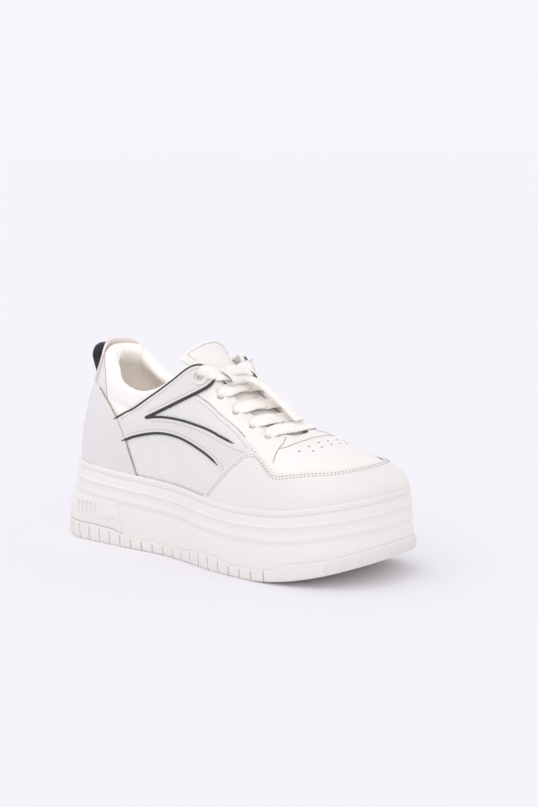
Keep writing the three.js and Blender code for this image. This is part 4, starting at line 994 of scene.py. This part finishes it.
def on_facing(lap, back, lift):
    up = up_at(lap, back)
    return lifted(lap, up, lift), upper_normal(lap, up)


def smooth_path(points, faces, broads, count):
    """A smooth line through a few points, with its facing and breadth blended along it."""
    points, faces = np.array(points, float), unit(np.array(faces, float))
    run = np.concatenate([[0], np.cumsum(np.linalg.norm(np.diff(points, axis=0), axis=1))])
    at = np.linspace(0, run[-1], count)
    path = np.stack([through({"run": run, "v": points[:, k]}, "run", "v", at) for k in range(3)], 1)
    face = np.stack([np.interp(at, run, faces[:, k]) for k in range(3)], 1)
    return path, unit(face), np.interp(at, run, broads)


def from_hole(start, lift):
    """The lace's first bends: up through the hole, over its edge and flat onto the facing."""
    back = set_back(start)
    away = unit(on_facing(start, back + 3, 0)[0] - on_facing(start, back, 0)[0])
    aim = lambda by: start + by if start < 0.5 else start - by
    hole, up = on_facing(start, back - 1.2, -2.6)
    over = on_facing(aim(0.0002), back - 2.3, 0.5)[0]
    flat = on_facing(aim(0.0012), back - 4.6, lift)[0]
    lip = on_facing(aim(0.0024), 1.5, lift + 0.2)[0]
    return [hole, over, flat, lip], [away, unit(away * 0.8 + up * 0.7), up, up], [0.45, 0.8, 1.05, 1.12]


def strand(start, level, end, hump, bar=False):
    """From a punched hole over the facing and the tongue, to the far side's hole or under its facing."""
    points, faces, broads = from_hole(start, 1.0)
    middle = tongue_middle(level) + UPWARD * (1.4 + hump)
    points += [(points[-1] + middle) / 2 + UPWARD * 0.6, middle]
    faces += [UPWARD, UPWARD]
    broads += [1.12, 1.1]
    if bar:
        far = from_hole(end, 1.0)
        points += [(far[0][-1] + middle) / 2 + UPWARD * 0.6] + far[0][::-1]
        faces += [UPWARD] + far[1][::-1]
        broads += [1.06] + far[2][::-1]
    else:
        under = tongue_under(end if end < 0.5 else 1 - end, 0.3)
        tuck, edge_in = under[1 if end < 0.5 else 9], under[3 if end < 0.5 else 7] + UPWARD * 0.9
        points += [(edge_in + middle) / 2 + UPWARD * 0.2, edge_in, tuck]
        faces += [UPWARD] * 3
        broads += [1, 1, 0.95]
    return smooth_path(points, faces, broads, 56)


def lace_strip(name, path, face, broad):
    return swept(name, path, face, LACE_WIDE * broad, LACE_THICK / np.clip(broad, 0.6, 1),
                 around=16, square=3.2)


strips = [lace_strip("strip", *strand(EYELETS[4], EYELETS[4], 1 - EYELETS[4], 1.4, bar=True))]
done(joined("lace_row_1", strips), woven, "lace", "lace_bar_1")
for row, cad in ((3, "lace_cross_2"), (2, "lace_cross_3"), (1, "lace_cross_4")):
    r = EYELETS[row]
    strips = [lace_strip("strip", *strand(r, r + 0.001, 1 - r + ADVANCE, 1.35)),
              lace_strip("strip", *strand(1 - r, r + 0.001, r - ADVANCE, 0.0))]
    done(joined(f"lace_row_{5 - row}", strips), woven, "lace", cad)
knot_base = tongue_middle(KNOT_LEVEL)
downhill = unit(tongue_middle(0.345) - knot_base)
strips = []
for start, side in ((EYELETS[0], -1), (1 - EYELETS[0], 1)):
    points, faces, broads = from_hole(start, 1.2)
    at = lambda outer_place: outer_place if side < 0 else 1 - outer_place
    near, up = on_facing(at(0.2630 if side < 0 else 0.2665), 6.6, 2.1)
    points[1] = points[1] + up * 1.3
    lip = on_facing(at(0.2715), 2.4, 1.9 if side < 0 else 1.5)[0]
    middle = knot_base + UPWARD * 2.6 + downhill * (4.0 if side < 0 else 2.5) + (0, -4.0 + side * 2.0, 0)
    path, face, broad = smooth_path(points[:2] + [near, lip, (lip + middle) / 2 + UPWARD * 0.8, middle],
                                    faces[:2] + [up, up, UPWARD, UPWARD],
                                    [0.5, 0.8, 1.02, 1.16, 1.32, 1.3], 44)
    strips.append(lace_strip("strip", path, face, broad))
done(joined("lace_row_5", strips), woven, "lace", "lace_top")

# The knot: three turns of lace side by side over the join, and one band laid across them.
centre = knot_base + UPWARD * 4.0 + downhill * 3.5 + (0, -4.0, 0)
sideways = np.array([0, 1.0, 0])
lift_axis = unit(np.cross(downhill, sideways)) * (1 if np.cross(downhill, sideways)[2] > 0 else -1)
turn = np.linspace(0, 2 * math.pi, 61)
bands = []
for aside, tall, slant in ((-5.4, 7.0, 0.2), (-1.0, 8.0, 0.02), (3.6, 8.2, -0.16)):
    wrap = (centre + sideways * aside + (downhill + sideways * slant) * (np.cos(turn) * 6.5)[:, None]
            + lift_axis * (np.sin(turn) * (tall - 1.6) / 2)[:, None])
    bands.append(swept("band", wrap, unit(wrap - centre - sideways * aside), 9.6, 2.2, around=14, square=2.2))
reach = np.linspace(-1, 1, 31)
band = (centre + sideways * (reach * 8.0)[:, None] + downhill * (reach * 1.8)[:, None]
        + lift_axis * (0.5 + 4.6 * np.sqrt(np.maximum(1 - 0.92 * reach**2, 0)))[:, None])
bands.append(swept("band", band, unit(lift_axis + sideways * (reach * 1.3)[:, None]),
                   10.0 * (1 - 0.4 * reach**4), 2.2, around=14, square=2.2))
knot = done(joined("lace_knot_tied", bands), woven, "lace", "lace_knot")

# The loose end: 50 mm of the same lace, from the knot down the inner half of the throat.
TAIL = {"ahead": (8.2, 13, 21, 30, 39, 48, 56.5), "across": (1.5, 4.5, 7.5, 9, 9.5, 9.5, 9.0),
        "above": (4.6, 6.2, 6.6, 6.2, 6.0, 6.0, 5.8)}
points = [knot_base + downhill * a + sideways * c + UPWARD * h for a, c, h in zip(*TAIL.values())]
path, face, broad = smooth_path(points, [UPWARD] * 7, [1] * 7, 40)
tail = lace_strip("lace_end", path, face, broad)
done(tail, woven, "lace", "lace_tail")

# ------------------------------------------------------------------ eyelet rings
# The two top holes are ringed with a raised moulded washer; the others are plain punched holes.
rings = []
for r in (EYELETS[0], 1 - EYELETS[0]):
    up = up_at(r, set_back(r))
    bpy.ops.mesh.primitive_torus_add(major_segments=40, minor_segments=12, major_radius=0.0048,
                                     minor_radius=0.0008)
    ring = bpy.context.object
    set_square(ring, lifted(r, up, 1.3), upper_normal(r, up))
    rings.append(ring)
rings = joined("eyelet_rings", rings)
bpy.ops.object.shade_smooth()
done(rings, cap_leather, "overlay")

# ------------------------------------------------------------------ stitching
# White thread in short stitches, two or three millimetres from each sewn edge.
thread = finish("white_thread", "E9E4DF", 0.75)
twist = pattern(thread, "Noise", Scale=2500)
tint(thread, twist, "Fac", 0.3, 0.7, ("D8D2CC", "F0ECE8"))
raise_bump(thread, [(twist, "Fac")], [0.00005])
STITCH_LONG, STITCH_THICK, STITCH_PITCH = 1.7, 0.5, 2.4


def stitched(name, lines, material, long=STITCH_LONG, thick=STITCH_THICK, pitch=STITCH_PITCH, phase=0.5,
             slot="lace"):
    """One small spindle, copied along the lines; each line is (points, normals)."""
    bpy.ops.mesh.primitive_uv_sphere_add(segments=6, ring_count=4, radius=0.5)
    master = bpy.context.object
    base = np.array([v.co for v in master.data.vertices])
    faces = [tuple(f.vertices) for f in master.data.polygons]
    bpy.data.objects.remove(master)
    corners, sides = [], []
    for path, face in lines:
        run = np.concatenate([[0], np.cumsum(np.linalg.norm(np.diff(path, axis=0), axis=1))])
        for at in np.arange(pitch * phase, run[-1], pitch):
            middle = np.array([np.interp(at, run, path[:, k]) for k in range(3)])
            ahead = np.array([np.interp(at + 0.4, run, path[:, k]) for k in range(3)])
            up = unit(np.array([np.interp(at, run, face[:, k]) for k in range(3)]))
            moved = np.linalg.norm(ahead - middle) > 1e-6
            along = unit(ahead - middle) if moved else unit(np.cross(up, (0, 1, 0)))
            axes = np.stack([along * long, np.cross(up, along) * thick, up * thick])
            spindle = base[:, [2, 0, 1]] @ axes
            sides += [tuple(v + len(corners) * len(base) for v in f) for f in faces]
            corners.append(middle + spindle)
    mesh = bpy.data.meshes.new(name)
    mesh.from_pydata(placed(np.vstack(corners)).tolist(), [], sides)
    piece = bpy.data.objects.new(name, mesh)
    bpy.context.collection.objects.link(piece)
    bpy.ops.object.select_all(action="DESELECT")
    piece.select_set(True)
    bpy.context.view_layer.objects.active = piece
    bpy.ops.object.shade_smooth()
    return done(piece, material, slot)


# Dark dots between the stitches: painted shade in the needle holes.
needle_hole_shade = finish("needle_hole", "A8988C", 0.9)


def beside(line, by):
    """A drawn line moved sideways by `by` millimetres, to its left."""
    forward = unit(np.gradient(line, axis=0))
    return line + np.stack([-forward[:, 1], forward[:, 0]], 1) * by


for side in ("outer", "inner"):
    lines = [on_line(beside(drawn(STRAP_TOP, 80)[10:], -2.6), side, 1.35),
             on_line(beside(drawn(STRAP_FOOT, 70)[3:-3], 3.0), side, 1.35),
             on_line(beside(drawn(LEG_TOP, 80)[4:], -2.8), side, 1.35),
             on_line(beside(drawn(LEG_FOOT, 90)[10:], 2.8), side, 1.35),
             on_line(beside(drawn({key: QUARTER_TOP[key][5:] for key in "xz"}, 50), -2.2), side, 0.6)]
    stitched("stitching_" + side, lines, thread)
    stitched("needle_holes_" + side, lines, needle_hole_shade, 0.6, 0.6, phase=1.0)
around = np.linspace(TOE_CAP["round"][0] + 0.004, TOE_CAP["round"][-1] - 0.004, 420)
top = through(TOE_CAP, "round", "up", around)
climb = np.linalg.norm(upper_face(around, top) - upper_face(around, top - 0.05), axis=1) / 0.05
lines = []
for down in (1.8, 3.6):          # two rows, in millimetres below the overlay's edge
    guess = np.clip(top - down / np.maximum(climb, 1), 0.02, 1)
    lines.append((lifted(around, guess, np.full_like(around, 1.62)), upper_normal(around, guess)))
# Along the front edge of the heel counter on each side, a thin dark strip of painted shadow cast by the edge.
counter_shadow_strips = []
for hand in (-1, 1):
    around = np.linspace(0.186, 0.118, 70)
    top = through(HEEL_COUNTER, "round", "up", around) + 0.003
    place = hand * (around + 0.0006)
    path, face = lifted(place, top, np.full_like(place, 1.0)), upper_normal(place, top)
    counter_shadow_strips.append(swept("edge", path, face, 0.9, 0.9))
done(joined("counter_edge_shadow", counter_shadow_strips), seam_shadow, "overlay")
stitched("stitching_ends", lines, thread)
stitched("needle_holes_ends", lines, needle_hole_shade, 0.75, 0.75, phase=1.0)

top, low = outer[-1] * 0.62 + outer[-2] * 0.38, outer[-2] * 0.5 + outer[-3] * 0.5
border = np.vstack([low[1] + (top[1] - low[1]) * s for s in np.linspace(0.1, 0.85, 8)] + [top[1:-1]]
                   + [top[-2] + (low[-2] - top[-2]) * s for s in np.linspace(0.15, 0.9, 8)])
front = np.tile(unit(np.array([0.85, 0, 0.5])), (len(border), 1))
border = border + front * 0.15
stitched("stitching_tongue", [(border, front)], thread)
stitched("needle_holes_tongue", [(border, front)], needle_hole_shade, 0.6, 0.6, phase=1.0)
rows = []
for share in (0.24, 0.4, 0.56, 0.72, 0.88):
    r = np.linspace(0.40, 0.60, 200)
    x = edge(r)[..., 0]
    plan = outline(r, 0.1)
    line = stacked(plan[..., 0], plan[..., 1], bottom_height(x) * (1 - share) + tread_height(x) * share)
    away = unit(outline(r, 0.0) - outline(r, 1.0))
    rows.append((line, stacked(away[..., 0], away[..., 1], 0)))
stitched("toe_knurl", rows, rubber, 1.4, 1.2, pitch=2.3, slot="outsole")
